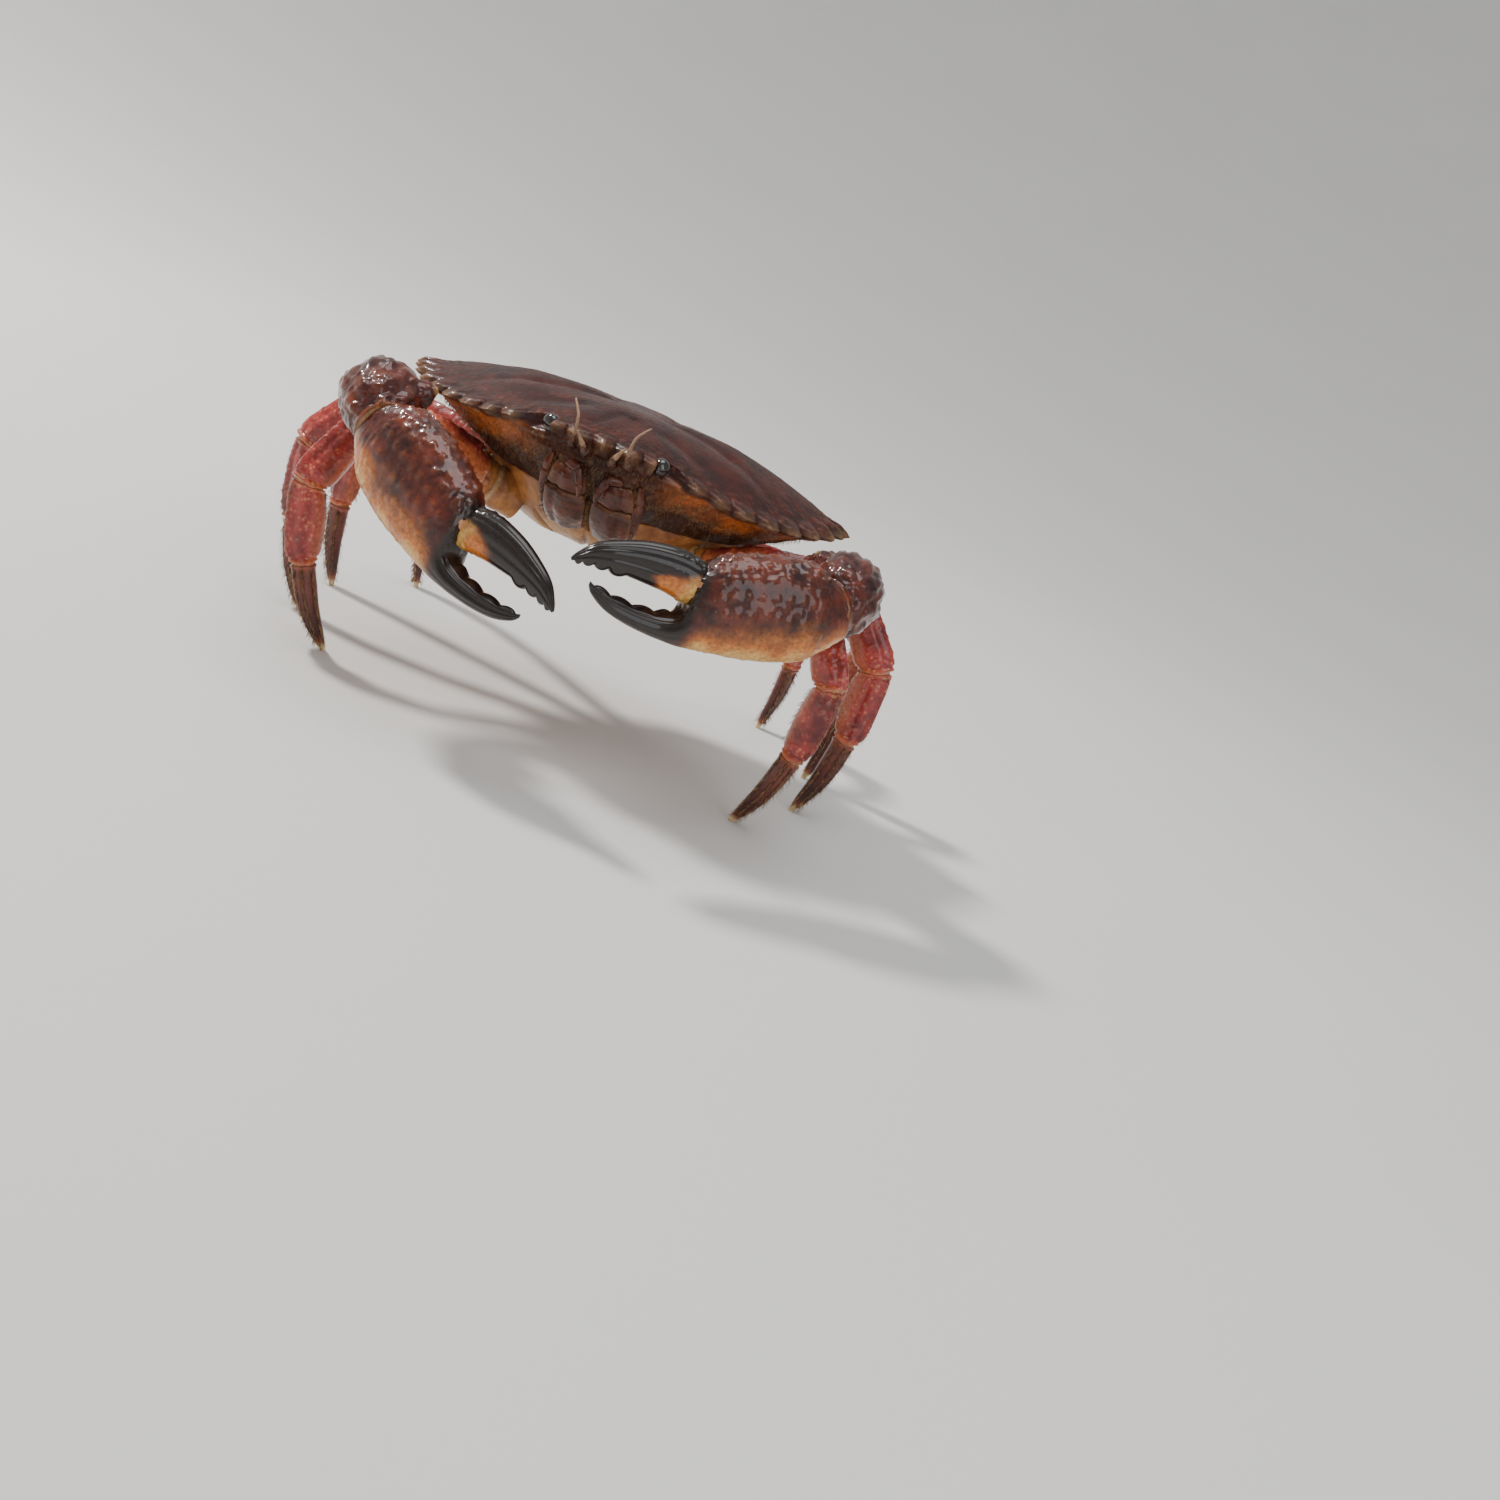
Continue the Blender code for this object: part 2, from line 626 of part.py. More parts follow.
def claw_frame(side):
    """Joints and directions of a claw limb: the hand's along, upper and outward directions come last."""
    limb = {name: np.array(value) for name, value in CLAW_LIMBS[side].items()}
    along = unit(limb["along"])
    upper = unit(limb["upper"] - np.dot(limb["upper"], along) * along)
    outward = np.cross(along, upper) * -SIDES[side]
    arm = unit(limb["elbow"] - limb["root"])
    bend = between(arm, limb["knob"] - limb["elbow"])
    wrist = between(limb["wrist"] - limb["knob"], along)
    return limb, along, upper, outward, arm, bend, wrist


def profile_rings(rows, place, along, upper, outward, sides=12):
    """Rings through a side profile: rounded sections that span its upper and lower edges."""
    angles = (np.arange(sides) + 0.5) * 2.0 * math.pi / sides
    rings = []
    for upper_x, upper_y, lower_x, lower_y, outer, inner in rows:
        top = place + along * upper_x + upper * upper_y
        low = place + along * lower_x + upper * lower_y
        tall = np.sign(np.sin(angles)) * np.abs(np.sin(angles)) ** CLAW_SQUARENESS
        wide = np.sign(np.cos(angles)) * np.abs(np.cos(angles)) ** CLAW_SQUARENESS
        wide = wide * np.where(wide > 0, outer, inner)
        rings.append((top + low) / 2 + tall[:, None] * (top - low) / 2 + wide[:, None] * outward)
    return rings


def hand_rings(side):
    limb, along, upper, outward, _, _, wrist = claw_frame(side)
    rows = through(HAND, np.linspace(0.0, len(HAND) - 1.0, HAND_ROWS))
    rings = profile_rings(rows, limb["wrist"] + along * GAP / 2, along, upper, outward)
    for ring, pull in zip(rings, (1.0, 0.8, 0.5, 0.2)):
        slant = ((ring.mean(axis=0) - ring) @ wrist) / np.dot(along, wrist)
        ring += along * (slant * pull)[:, None]
    return rings


def finger_frame(side):
    """Hinge and directions of the movable finger, opened from the hand."""
    limb, along, upper, _, _, _, _ = claw_frame(side)
    angle = math.radians(FINGER_OPEN[side])
    place = limb["wrist"] + along * FINGER_HINGE[0] + upper * FINGER_HINGE[1]
    turned = along * math.cos(angle) + upper * math.sin(angle)
    return place, turned, upper * math.cos(angle) - along * math.sin(angle)


def cone_rings(foot, tip, radius, sides=6):
    """A low blunt tooth from its sunk foot to its tip."""
    step = unit(tip - foot)
    across = unit(np.cross(step, (0.3, 0.2, 1.0)))
    girths = [(radius * share,) * 3 for share in (1.0, 0.95, 0.45)]
    return rings_along([foot, tip], across, girths, step, step, rows=3, sides=sides)


def edge_teeth(rows, edge, place, along, upper, direction):
    """Teeth in a row on a cutting edge of a profile: edge is the column of its first number."""
    teeth = []
    first, last, count = (FINGER_TEETH[name] for name in ("first", "last", "count"))
    points = [(row[edge], row[edge + 1]) for row in rows]
    for share in np.linspace(first, last, count):
        x, y = through(points, share * (len(points) - 1))[0]
        foot = place + along * x + upper * (y - direction * 1.2)
        tip = place + along * x + upper * (y + direction * FINGER_TEETH["height"])
        teeth.append(cone_rings(foot, tip, FINGER_TEETH["radius"] * (1.6 - share)))
    return teeth


def knobs_on(rings, knobs, turning=1, first_angle=0.0):
    """Low knobs on the skin of a loft. Turning is -1 where a ring's first side is the inner one."""
    cones = []
    count = len(rings[0])
    for number, row in enumerate(knobs["rows"]):
        centre = rings[row].mean(axis=0)
        for turn in knobs["turns"]:
            angle = 90.0 - turning * (turn + 10.0 * (number % 2)) - first_angle
            place = angle / 360.0 * count % count
            low = int(place)
            skin = rings[row][low] + (rings[row][(low + 1) % count] - rings[row][low]) * (place - low)
            away = unit(skin - centre)
            tip = skin + away * knobs["height"]
            cones.append(cone_rings(skin - away * KNOB_ROOT, tip, knobs["radius"]))
    return cones


def wrist_spine(side, rings):
    """The stout spine at the inner corner of a wrist block."""
    ring = rings[WRIST_SPINE["ring"]]
    centre = ring.mean(axis=0)
    way = unit(WRIST_SPINE["way"]) * np.array([SIDES[side], 1.0, 1.0])
    skin = centre + way * np.max((ring - centre) @ way)
    foot = skin - way * WRIST_SPINE["sunk"]
    return cone_rings(foot, skin + way * WRIST_SPINE["height"], WRIST_SPINE["radius"], sides=8)


def fuse(obj, pieces):
    """Joins small pieces, given as rings, into an object."""
    combine(obj, [loft("piece", rings, obj.data.materials[0]) for rings in pieces], "UNION")


def build_claw(side):
    """Upper arm, wrist block, hand with its fixed finger, and the movable finger."""
    limb, along, upper, outward, arm, bend, wrist = claw_frame(side)
    shell = MATERIALS["claw"]
    path = shortened(limb["root"], limb["elbow"], arm, bend)
    loft(f"claw_merus_{side}", rings_along(path, UP, CLAW_GIRTHS["merus"], arm, bend, sides=12), shell)
    start = limb["elbow"] + bend * GAP / 2
    path = [start, limb["knob"], limb["wrist"] - wrist * GAP / 2]
    girth = np.array(CLAW_GIRTHS["carpus"]) * (1.0, 1.0, limb["breadth"])
    rings = rings_along(path, UP, girth, bend, wrist, rows=8, sides=12)
    knobs = knobs_on(rings, WRIST_KNOBS, turning=-SIDES[side]) + [wrist_spine(side, rings)]
    fuse(loft(f"claw_carpus_{side}", rings, shell), knobs)
    rings = hand_rings(side)
    hand = loft(f"claw_hand_{side}", rings, shell)
    knobs = knobs_on(rings, HAND_KNOBS, first_angle=180.0 / len(rings[0]))
    fuse(hand, edge_teeth(HAND, 0, limb["wrist"], along, upper, 1.0) + knobs)
    place, turned, above = finger_frame(side)
    rows = through(FINGER, np.linspace(0.0, len(FINGER) - 1.0, FINGER_ROWS))
    rings = profile_rings(rows, place, turned, above, outward)
    seat(hand, [rings])
    finger = loft(f"claw_finger_{side}", rings, MATERIALS["claw_finger"])
    fuse(finger, edge_teeth(FINGER, 2, place, turned, above, -1.0))


def arm_stub(side):
    limb, _, _, _, arm, _, _ = claw_frame(side)
    size = np.array(CLAW_GIRTHS["merus"][0])
    end = limb["root"] - arm * GAP / 2
    return rings_along([end - arm * STUB_LENGTH, end], UP, [size * 1.2, size * 1.1, size], arm, arm, rows=3)


# Face and tail

def face_piece(name, side):
    """Rings of a small piece of the face, from its path and radii on the left side."""
    piece = FACE_PIECES[name]
    mirror = np.array([SIDES[side], 1.0, 1.0])
    path = np.array(piece["path"]) * mirror
    upper = np.array(piece["upper"]) * mirror
    start = unit(path[1] - path[0])
    end = unit(path[-1] - path[-2])
    return rings_along(path, upper, piece["girth"], start, end, rows=piece["rows"], sides=piece["sides"])


def abdomen_rings():
    """The tail flap, folded under the body along the middle of the breastplate."""
    start = unit(np.subtract(ABDOMEN["path"][1], ABDOMEN["path"][0]))
    end = unit(np.subtract(ABDOMEN["path"][-1], ABDOMEN["path"][-2]))
    upper = (0.0, 0.0, -1.0)
    return rings_along(ABDOMEN["path"], upper, ABDOMEN["girth"], start, end, rows=10, sides=10)


def build_body():
    """Shell, breastplate with its limb stubs, tail flap and the pieces of the face, seated in them."""
    carapace = build_carapace()
    thorax = build_thorax()
    stubs = [arm_stub(side) for side in SIDES]
    stubs += [leg_stub(side, number) for side in SIDES for number in WALKING_LEGS]
    fuse(thorax, stubs)
    pieces = {f"{name}_{side}": face_piece(name, side) for name in FACE_PIECES for side in SIDES}
    for name, rings in pieces.items():
        loft(name, rings, MATERIALS[FACE_PIECES[name.rsplit("_", 1)[0]]["finish"]])
    abdomen = abdomen_rings()
    loft("abdomen", abdomen, MATERIALS["underside"])
    seat(carapace, list(pieces.values()) + [abdomen])
    seat(thorax, [pieces["maxilliped_right"], pieces["maxilliped_left"], abdomen])


def stand_on_floor():
    """Puts everything under one empty, so that the floor is z = 0 under the middle of the crab."""
    corners = np.array([np.array(vert.co) for obj in PARTS.objects for vert in obj.data.vertices])
    low = corners.min(axis=0)
    middle = (low + corners.max(axis=0)) / 2
    carrier = bpy.data.objects.new("crab_origin", None)
    bpy.context.scene.collection.objects.link(carrier)
    carrier.location = (-middle[0], -middle[1], WIDEST_ABOVE_FLOOR * MM)
    for obj in PARTS.objects:
        obj.parent = carrier


clear_scene()
PARTS = bpy.data.collections.new("red_rock_crab")
bpy.context.scene.collection.children.link(PARTS)
MATERIALS = {name: make_material(name) for name in FINISHES}
build_body()
for crab_side in SIDES:
    build_claw(crab_side)
    for leg_number in WALKING_LEGS:
        build_walking_leg(crab_side, leg_number)
stand_on_floor()
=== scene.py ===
"""The looks of a red rock crab, life size, standing on a plain pale floor in soft studio light.

The shapes are worked out in the crab's own frame, in millimetres: it faces -Y, its left side is +X and
z = 0 is the height of the two widest points of the shell. Every piece stands for a node of the frame.
"""

import math

import bpy
import numpy as np
from mathutils import Matrix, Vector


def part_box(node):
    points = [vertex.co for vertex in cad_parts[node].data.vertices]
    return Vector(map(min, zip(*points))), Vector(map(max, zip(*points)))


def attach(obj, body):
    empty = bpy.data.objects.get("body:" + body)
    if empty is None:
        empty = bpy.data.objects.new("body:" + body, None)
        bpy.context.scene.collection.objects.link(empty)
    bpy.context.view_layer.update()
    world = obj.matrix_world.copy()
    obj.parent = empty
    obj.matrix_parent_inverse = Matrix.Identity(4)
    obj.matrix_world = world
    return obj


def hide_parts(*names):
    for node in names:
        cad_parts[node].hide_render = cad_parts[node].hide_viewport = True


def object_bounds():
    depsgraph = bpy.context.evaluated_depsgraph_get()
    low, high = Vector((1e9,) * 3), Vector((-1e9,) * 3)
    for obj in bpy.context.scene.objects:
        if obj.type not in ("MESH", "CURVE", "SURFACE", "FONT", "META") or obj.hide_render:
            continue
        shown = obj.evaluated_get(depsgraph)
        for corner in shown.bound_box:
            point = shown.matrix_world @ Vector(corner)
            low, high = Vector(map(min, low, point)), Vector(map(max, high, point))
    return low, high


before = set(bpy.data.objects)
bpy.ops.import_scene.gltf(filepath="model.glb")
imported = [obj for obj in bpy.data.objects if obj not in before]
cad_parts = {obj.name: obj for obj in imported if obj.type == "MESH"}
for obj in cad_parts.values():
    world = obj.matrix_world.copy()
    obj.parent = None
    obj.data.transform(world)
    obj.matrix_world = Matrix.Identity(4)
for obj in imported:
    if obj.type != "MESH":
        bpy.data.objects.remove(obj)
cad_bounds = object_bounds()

MM = 0.001
CIRCLE = 2.0 * math.pi
SIDES = {"right": -1, "left": 1}
UP = (0.0, 0.0, 1.0)
DOWN = np.array([0.0, 0.0, -1.0])

# Driving sizes of the shell, in millimetres
FRONT_REACH = 51.5
REAR_REACH = 41.0
DOME_HEIGHT = 13.0
BODY_CENTRE = np.array([0.0, -6.0, 0.0])
SPLIT_Z = -15.0
STERNUM_Z = -30.0
WIDEST_ABOVE_FLOOR = 88.0

# The edge of the shell, from the middle of the front to the middle of the rear, as x, y and z
MARGIN = [
    (0.0, -FRONT_REACH, 6.0), (9.0, -51.0, 5.8), (17.0, -48.0, 5.0), (28.0, -45.5, 2.6), (40.0, -39.5, 0.0),
    (52.0, -29.5, -1.4), (61.5, -17.0, -1.2), (67.0, -4.0, -0.2), (67.5, 3.5, 0.0), (60.0, 12.5, -1.5),
    (49.0, 22.0, -3.5), (37.0, 31.5, -5.5), (26.0, 38.5, -7.0), (13.0, REAR_REACH - 0.3, -7.5),
    (0.0, REAR_REACH, -7.5),
]
TEETH_END = 8.0
MARGIN_END = len(MARGIN) - 1.0

# Teeth of the edge: where each run starts and ends along MARGIN, how many, how far they stand out
FRONT_TEETH = {"start": -0.425, "end": 1.70, "count": 2.5, "height": (2.6, 2.4), "tip": 0.5}
SIDE_TEETH = {"start": 2.72, "end": 7.95, "count": 9, "height": (2.2, 3.6), "tip": 0.36}
ORBIT = {"start": 1.70, "end": 2.72, "depth": 2.6}

# Soft rises of the shell's top: centre x, centre y, spread x, spread y, height
RISES = [
    (0.0, -22.0, 13.0, 12.0, 1.1), (0.0, 12.0, 11.0, 11.0, 0.7), (30.0, 2.0, 18.0, 15.0, 0.9),
    (33.0, -24.0, 10.0, 8.0, 0.8), (13.0, -40.0, 6.0, 6.0, 0.6),
]
# Shallow grooves between them, as the two ends of each, its depth and its breadth
GROOVES = [
    ((10.0, -8.0), (30.0, -14.0), 0.7, 3.2), ((9.0, 0.0), (10.0, 20.0), 0.5, 3.2),
    ((14.0, -30.0), (24.0, -34.0), 0.6, 3.2), ((10.0, -8.0), (9.0, 0.0), 0.4, 2.4),
    ((30.0, -14.0), (46.0, -22.0), 0.45, 2.6), ((2.0, -30.0), (6.0, -44.0), 0.4, 2.0),
]
# Ridges of the flank over the face, and of the rear edge, as height, place and width
FACE_RIDGES = ((0.45, 0.1, 0.025), (-0.5, 0.19, 0.03), (0.3, 0.27, 0.03))
REAR_RIM = ((0.45, 0.982, 0.012), (-0.35, 0.95, 0.012))

# Walking legs: root x and y, lean and size, then on each side the azimuth and the slopes of the segments
WALKING_LEGS = {
    1: {"root": (41.5, -10.0), "lean": -5, "size": 1.0,
        "right": (36, -62, -100, -116), "left": (31, -56, -94, -110)},
    2: {"root": (43.5, 2.0), "lean": -2, "size": 1.03,
        "right": (8, -56, -94, -108), "left": (5, -52, -90, -104)},
    3: {"root": (40.5, 14.0), "lean": 3, "size": 1.02,
        "right": (-16, -48, -86, -100), "left": (-17, -46, -84, -98)},
    4: {"root": (34.0, 25.0), "lean": 6, "size": 0.95,
        "right": (-44, -36, -76, -94), "left": (-45, -38, -78, -93)},
}
LEG_ROOT_Z = -22.4
LEG_LENGTHS = {"merus": 37.5, "carpus": 20.5, "propodus": 23.5, "dactyl": 28.5}
LEG_GIRTHS = {
    "merus": [(4.9, 4.7, 3.6), (5.8, 5.5, 3.8), (6.5, 6.0, 3.8), (6.5, 6.0, 4.0), (5.3, 5.0, 3.7)],
    "carpus": [(4.9, 4.6, 3.5), (5.6, 5.3, 3.8), (6.2, 5.8, 4.1), (6.4, 5.9, 4.1), (5.3, 5.0, 3.7)],
    "propodus": [(4.9, 4.6, 3.5), (5.8, 5.4, 3.7), (6.0, 5.6, 3.6), (5.5, 5.1, 3.4), (4.1, 3.8, 3.0)],
    "dactyl": [(3.7, 3.4, 2.7), (3.8, 3.4, 2.5), (3.2, 3.0, 2.2), (2.2, 2.1, 1.6), (0.8, 0.8, 0.7)],
}
STUB_LENGTH = 13.0
DACTYL_BOW = 1.2
# Relief at the ends of a limb segment, and at the two first joints of a limb, as height, place and width
JOINT_RELIEF = (
    (-0.6, 0.0, 0.03), (0.3, 0.055, 0.025), (-0.3, 0.915, 0.02), (0.4, 0.965, 0.022), (-0.5, 1.0, 0.01),
)
ROOT_RELIEF = ((0.5, 0.86, 0.06), (-0.7, 0.72, 0.04), (0.6, 0.5, 0.14))
# Angles of the grooves round a leg tip
FLUTES = (22.0, 62.0, 118.0, 158.0, 210.0, 330.0)
# Angles of the rows of bristles along a leg segment
BRISTLE_ROWS = {"propodus": (-75.0, -105.0, 75.0, 105.0), "dactyl": FLUTES}
# Bristles: how many in a row or in all, how far they lean along the skin, their length and their width
BRISTLES = {
    "propodus": (34, 1.1, 1.7, 0.07), "dactyl": (95, 1.1, 2.3, 0.07), "mouth": (90, 0.7, 1.7, 0.06),
    "shell": (2600, 0.6, 1.5, 0.06),
}
# The fringe of the shell reaches back to this place
FRINGE_END_Y = -8.0

# Joints of each claw limb, the direction of the hand and of its upper edge, the wrist block's breadth
CLAW_LIMBS = {
    "right": {
        "root": (-35.5, -23.5, -22.0), "elbow": (-55.5, -36.5, -16.0), "knob": (-62.8, -46.2, -8.0),
        "wrist": (-56.0, -58.5, -13.0), "along": (0.80, -0.39, -0.46), "upper": (0.49, 0.0, 0.87),
        "breadth": 1.1,
    },
    "left": {
        "root": (35.5, -23.5, -22.0), "elbow": (60.0, -34.5, -15.5), "knob": (75.5, -43.5, -9.0),
        "wrist": (73.5, -57.0, -13.5), "along": (-0.86, -0.46, -0.22), "upper": (-0.26, 0.03, 0.96),
        "breadth": 1.0,
    },
}
CLAW_GIRTHS = {
    "merus": [(5.6, 5.8, 4.8), (7.8, 8.4, 5.8), (9.4, 8.8, 6.5), (8.2, 7.4, 6.2)],
    "carpus": [(6.8, 6.4, 5.9), (9.8, 8.8, 9.2), (11.6, 10.4, 10.8), (11.2, 10.2, 10.3), (8.4, 8.0, 7.4)],
}
WRIST_GIRTH = np.array((7.0, 6.6, 5.8))
HINGE_GIRTH = np.array((5.6, 5.0, 4.6))
# The spine at the inner corner of a wrist block: how far along, direction on the left side and sizes
WRIST_SPINE = {"share": 0.57, "way": (-0.85, 0.15, 0.50), "sunk": 4.0, "height": 3.8, "radius": 4.4}
# The hand in its own plane: along and up of the upper edge, the same of the lower edge, then the half
# thickness of the outer and the inner face. The finger is given in the same way.
HAND = [
    (0.0, 8.8, 0.0, -7.8, 7.0, 6.0), (3.0, 11.8, 4.0, -11.6, 8.5, 6.8),
    (9.0, 13.9, 10.0, -13.6, 9.6, 7.4), (18.0, 14.6, 19.5, -13.9, 10.0, 7.8),
    (27.0, 14.4, 28.5, -13.1, 9.8, 7.6), (34.0, 13.0, 35.5, -12.0, 9.0, 7.0),
    (38.5, 9.6, 40.0, -11.2, 8.0, 6.2), (40.5, 4.0, 43.5, -10.5, 7.0, 5.5),
    (42.5, -0.8, 47.5, -9.2, 6.0, 4.8), (46.5, -2.2, 51.5, -7.8, 5.0, 4.1),
    (53.0, -1.2, 57.5, -5.2, 3.9, 3.3), (60.0, 1.2, 62.8, -2.0, 2.8, 2.4),
    (65.4, 4.0, 66.4, 1.8, 1.3, 1.2), (66.8, 5.2, 67.3, 4.2, 0.5, 0.5),
]
FINGER = [
    (-1.0, 4.4, -0.5, -4.6, 4.4, 3.9), (2.5, 6.6, 3.0, -5.8, 5.0, 4.2), (9.0, 7.2, 9.0, -5.0, 4.7, 4.0),
    (17.0, 6.0, 16.5, -4.6, 4.0, 3.4), (24.0, 3.7, 23.5, -4.4, 3.2, 2.8), (30.0, 0.8, 29.0, -4.6, 2.3, 2.0),
    (33.6, -2.8, 32.8, -5.2, 1.3, 1.2), (35.0, -5.0, 34.6, -5.7, 0.5, 0.5),
]
FINGER_HINGE = (37.5, 5.6)
FINGER_OPEN = {"right": 21.0, "left": 17.0}
CLAW_SQUARENESS = 0.85
CUTTING_TEETH = 4.0
CUFF_ROWS = 14
# Rows of beads on a hand: the angles of the rows, their pitch and where they start and end
BEADS = {"turns": (68.0, 50.0, 32.0, 14.0, -4.0, -22.0, -42.0), "pitch": 0.034, "start": 0.06, "end": 0.44}
# Angles of the grooves along the fixed and the movable finger
FIXED_GROOVES = (35.0, 5.0, -30.0, 150.0, 185.0, 215.0)
FINGER_GROOVES = (60.0, 28.0, -8.0, 120.0, 152.0, 188.0)

# Pieces of the face on the left side: path, upper direction, half sizes above, below and sideways
FACE_PIECES = {
    "eye": (
        [(13.0, -43.0, 2.2), (15.3, -46.4, 3.6), (17.4, -49.3, 5.2)],
        UP,
        [(1.4,) * 3, (1.8,) * 3, (2.6,) * 3, (2.5,) * 3, (1.0,) * 3],
    ),
    "antenna": (
        [(8.4, -45.0, 0.4), (8.2, -52.0, 1.6), (7.8, -55.2, 5.0), (8.4, -55.4, 10.0), (11.0, -53.0, 13.6)],
        (1.0, 0.0, 0.0),
        [(1.5,) * 3, (1.2,) * 3, (0.5,) * 3, (0.4,) * 3, (0.25,) * 3],
    ),
    "antennule": (
        [(3.6, -46.0, -0.5), (3.8, -52.5, 0.8), (5.0, -55.5, 3.4), (6.8, -57.5, 6.4)],
        (1.0, 0.0, 0.0),
        [(1.4,) * 3, (1.3,) * 3, (0.7,) * 3, (0.3,) * 3],
    ),
    "maxilliped": (
        [(6.6, -31.5, -23.5), (7.0, -40.5, -17.0), (7.0, -47.0, -8.0), (6.4, -48.2, -2.6)],
        (0.0, -1.0, -0.4),
        [(1.7, 2.2, 5.2), (2.0, 2.4, 6.2), (2.0, 2.2, 6.2), (1.7, 2.0, 5.2), (1.2, 1.4, 3.0)],
    ),
}
EYE_RADIUS = 2.5
ORBIT_RIM = {"radius": 3.3, "thickness": 0.8}
# The feelers: how many rings, and where the whip starts
FEELERS = {"antenna": (62, 0.46), "antennule": (26, 0.6)}
# The plates of a mouthpart: where each starts and ends along its path, and its share of the girth
MOUTH_PLATES = ((0.0, 0.52, 1.0), (0.545, 0.84, 0.98), (0.855, 1.0, 0.9))
# The outer branch and the palp of an outer mouthpart on the left side: path, half sizes, joints
MOUTH_EXTRAS = (
    (
        [(12.8, -33.0, -21.5), (13.6, -41.0, -15.0), (13.8, -46.6, -7.0), (13.0, -48.6, -3.0)],
        [(0.9, 0.9, 1.3), (1.2, 1.2, 1.7), (1.1, 1.1, 1.5), (0.5, 0.5, 0.6)],
        (0.62,),
    ),
    (
        [(7.6, -49.4, -3.6), (4.6, -51.2, -4.2), (2.8, -51.0, -8.0), (2.6, -48.8, -12.0)],
        [(1.3, 1.3, 1.3), (1.3, 1.3, 1.3), (1.1, 1.1, 1.1), (0.4, 0.4, 0.4)],
        (0.34, 0.66),
    ),
)
TAIL_PATH = [
    (0.0, 35.5, -15.5), (0.0, 31.0, -24.0), (0.0, 21.0, -29.5), (0.0, 8.0, -31.3), (0.0, -8.0, -31.0),
]
TAIL_GIRTH = [(1.6, 2.0, 11.5), (1.8, 2.0, 12.5), (1.8, 2.0, 10.0), (1.7, 2.0, 7.0), (1.0, 1.6, 2.4)]
TAIL_FOLDS = (0.14, 0.3, 0.47, 0.64, 0.82)
# Grooves across the breast, at these places along the middle
BREAST_GROOVES = (-18.0, -6.0, 5.5, 16.0, 25.0)

# The camera in the crab's frame, turned with the crab as the photograph has it
CAMERA_PLACE = (68.96, -450.88, 64.73)
CAMERA_AHEAD = (-0.00186, 0.95469, -0.29758)
CAMERA_UP = (-0.38092, 0.27447, 0.88293)
CAMERA_LENS = 35.33
CAMERA_SENSOR = 36.0
CAMERA_NEAR = 0.01
# Lamps: kind, place in metres, size, power and colour, and the point they face
LAMPS = {
    "key": ("POINT", (-0.75, 0.15, 0.95), 0.07, 62.0, (1.0, 0.97, 0.93)),
    "fill": ("AREA", (0.9, -1.0, 0.7), 0.9, 5.0, (0.93, 0.96, 1.0)),
    "top": ("AREA", (0.1, -0.1, 1.9), 1.2, 16.0, (1.0, 1.0, 1.0)),
}
LIT_POINT = np.array([0.0, 0.001, 0.06])
AIR_COLOUR = (0.8, 0.85, 0.9, 1.0)
AIR_STRENGTH = 0.5

# The round room, in metres: two radii on the flat of its floor, the radius of its sweep and its height
ROOM_MIDDLE = 0.4
ROOM_FLOOR = 0.8
ROOM_SWEEP = 2.4
ROOM_HEIGHT = 3.4
ROOM_COLUMNS = 128

# How finely the skins are drawn: the shell and the breast by parts, the rest as rows and columns
MARGIN_FINE = 270
MARGIN_PLAIN = 72
TOP_ROWS = 102
FLANK_ROWS = 40
BREAST_COLUMNS = 150
BREAST_ROWS = 26
GRIDS = {
    "leg_root": (34, 36), "arm_root": (34, 40), "tail": (130, 64), "leg": (84, 60), "leg_tip": (90, 60),
    "sleeve": (26, 32), "ball": (14, 16), "hand": (190, 120), "finger": (120, 96), "merus": (90, 84),
    "carpus": (130, 110), "spine": (40, 48), "stalk": (40, 40), "cornea": (46, 48), "antenna": (260, 14),
    "antennule": (150, 14), "plate": (60, 56), "branch": (70, 28),
}

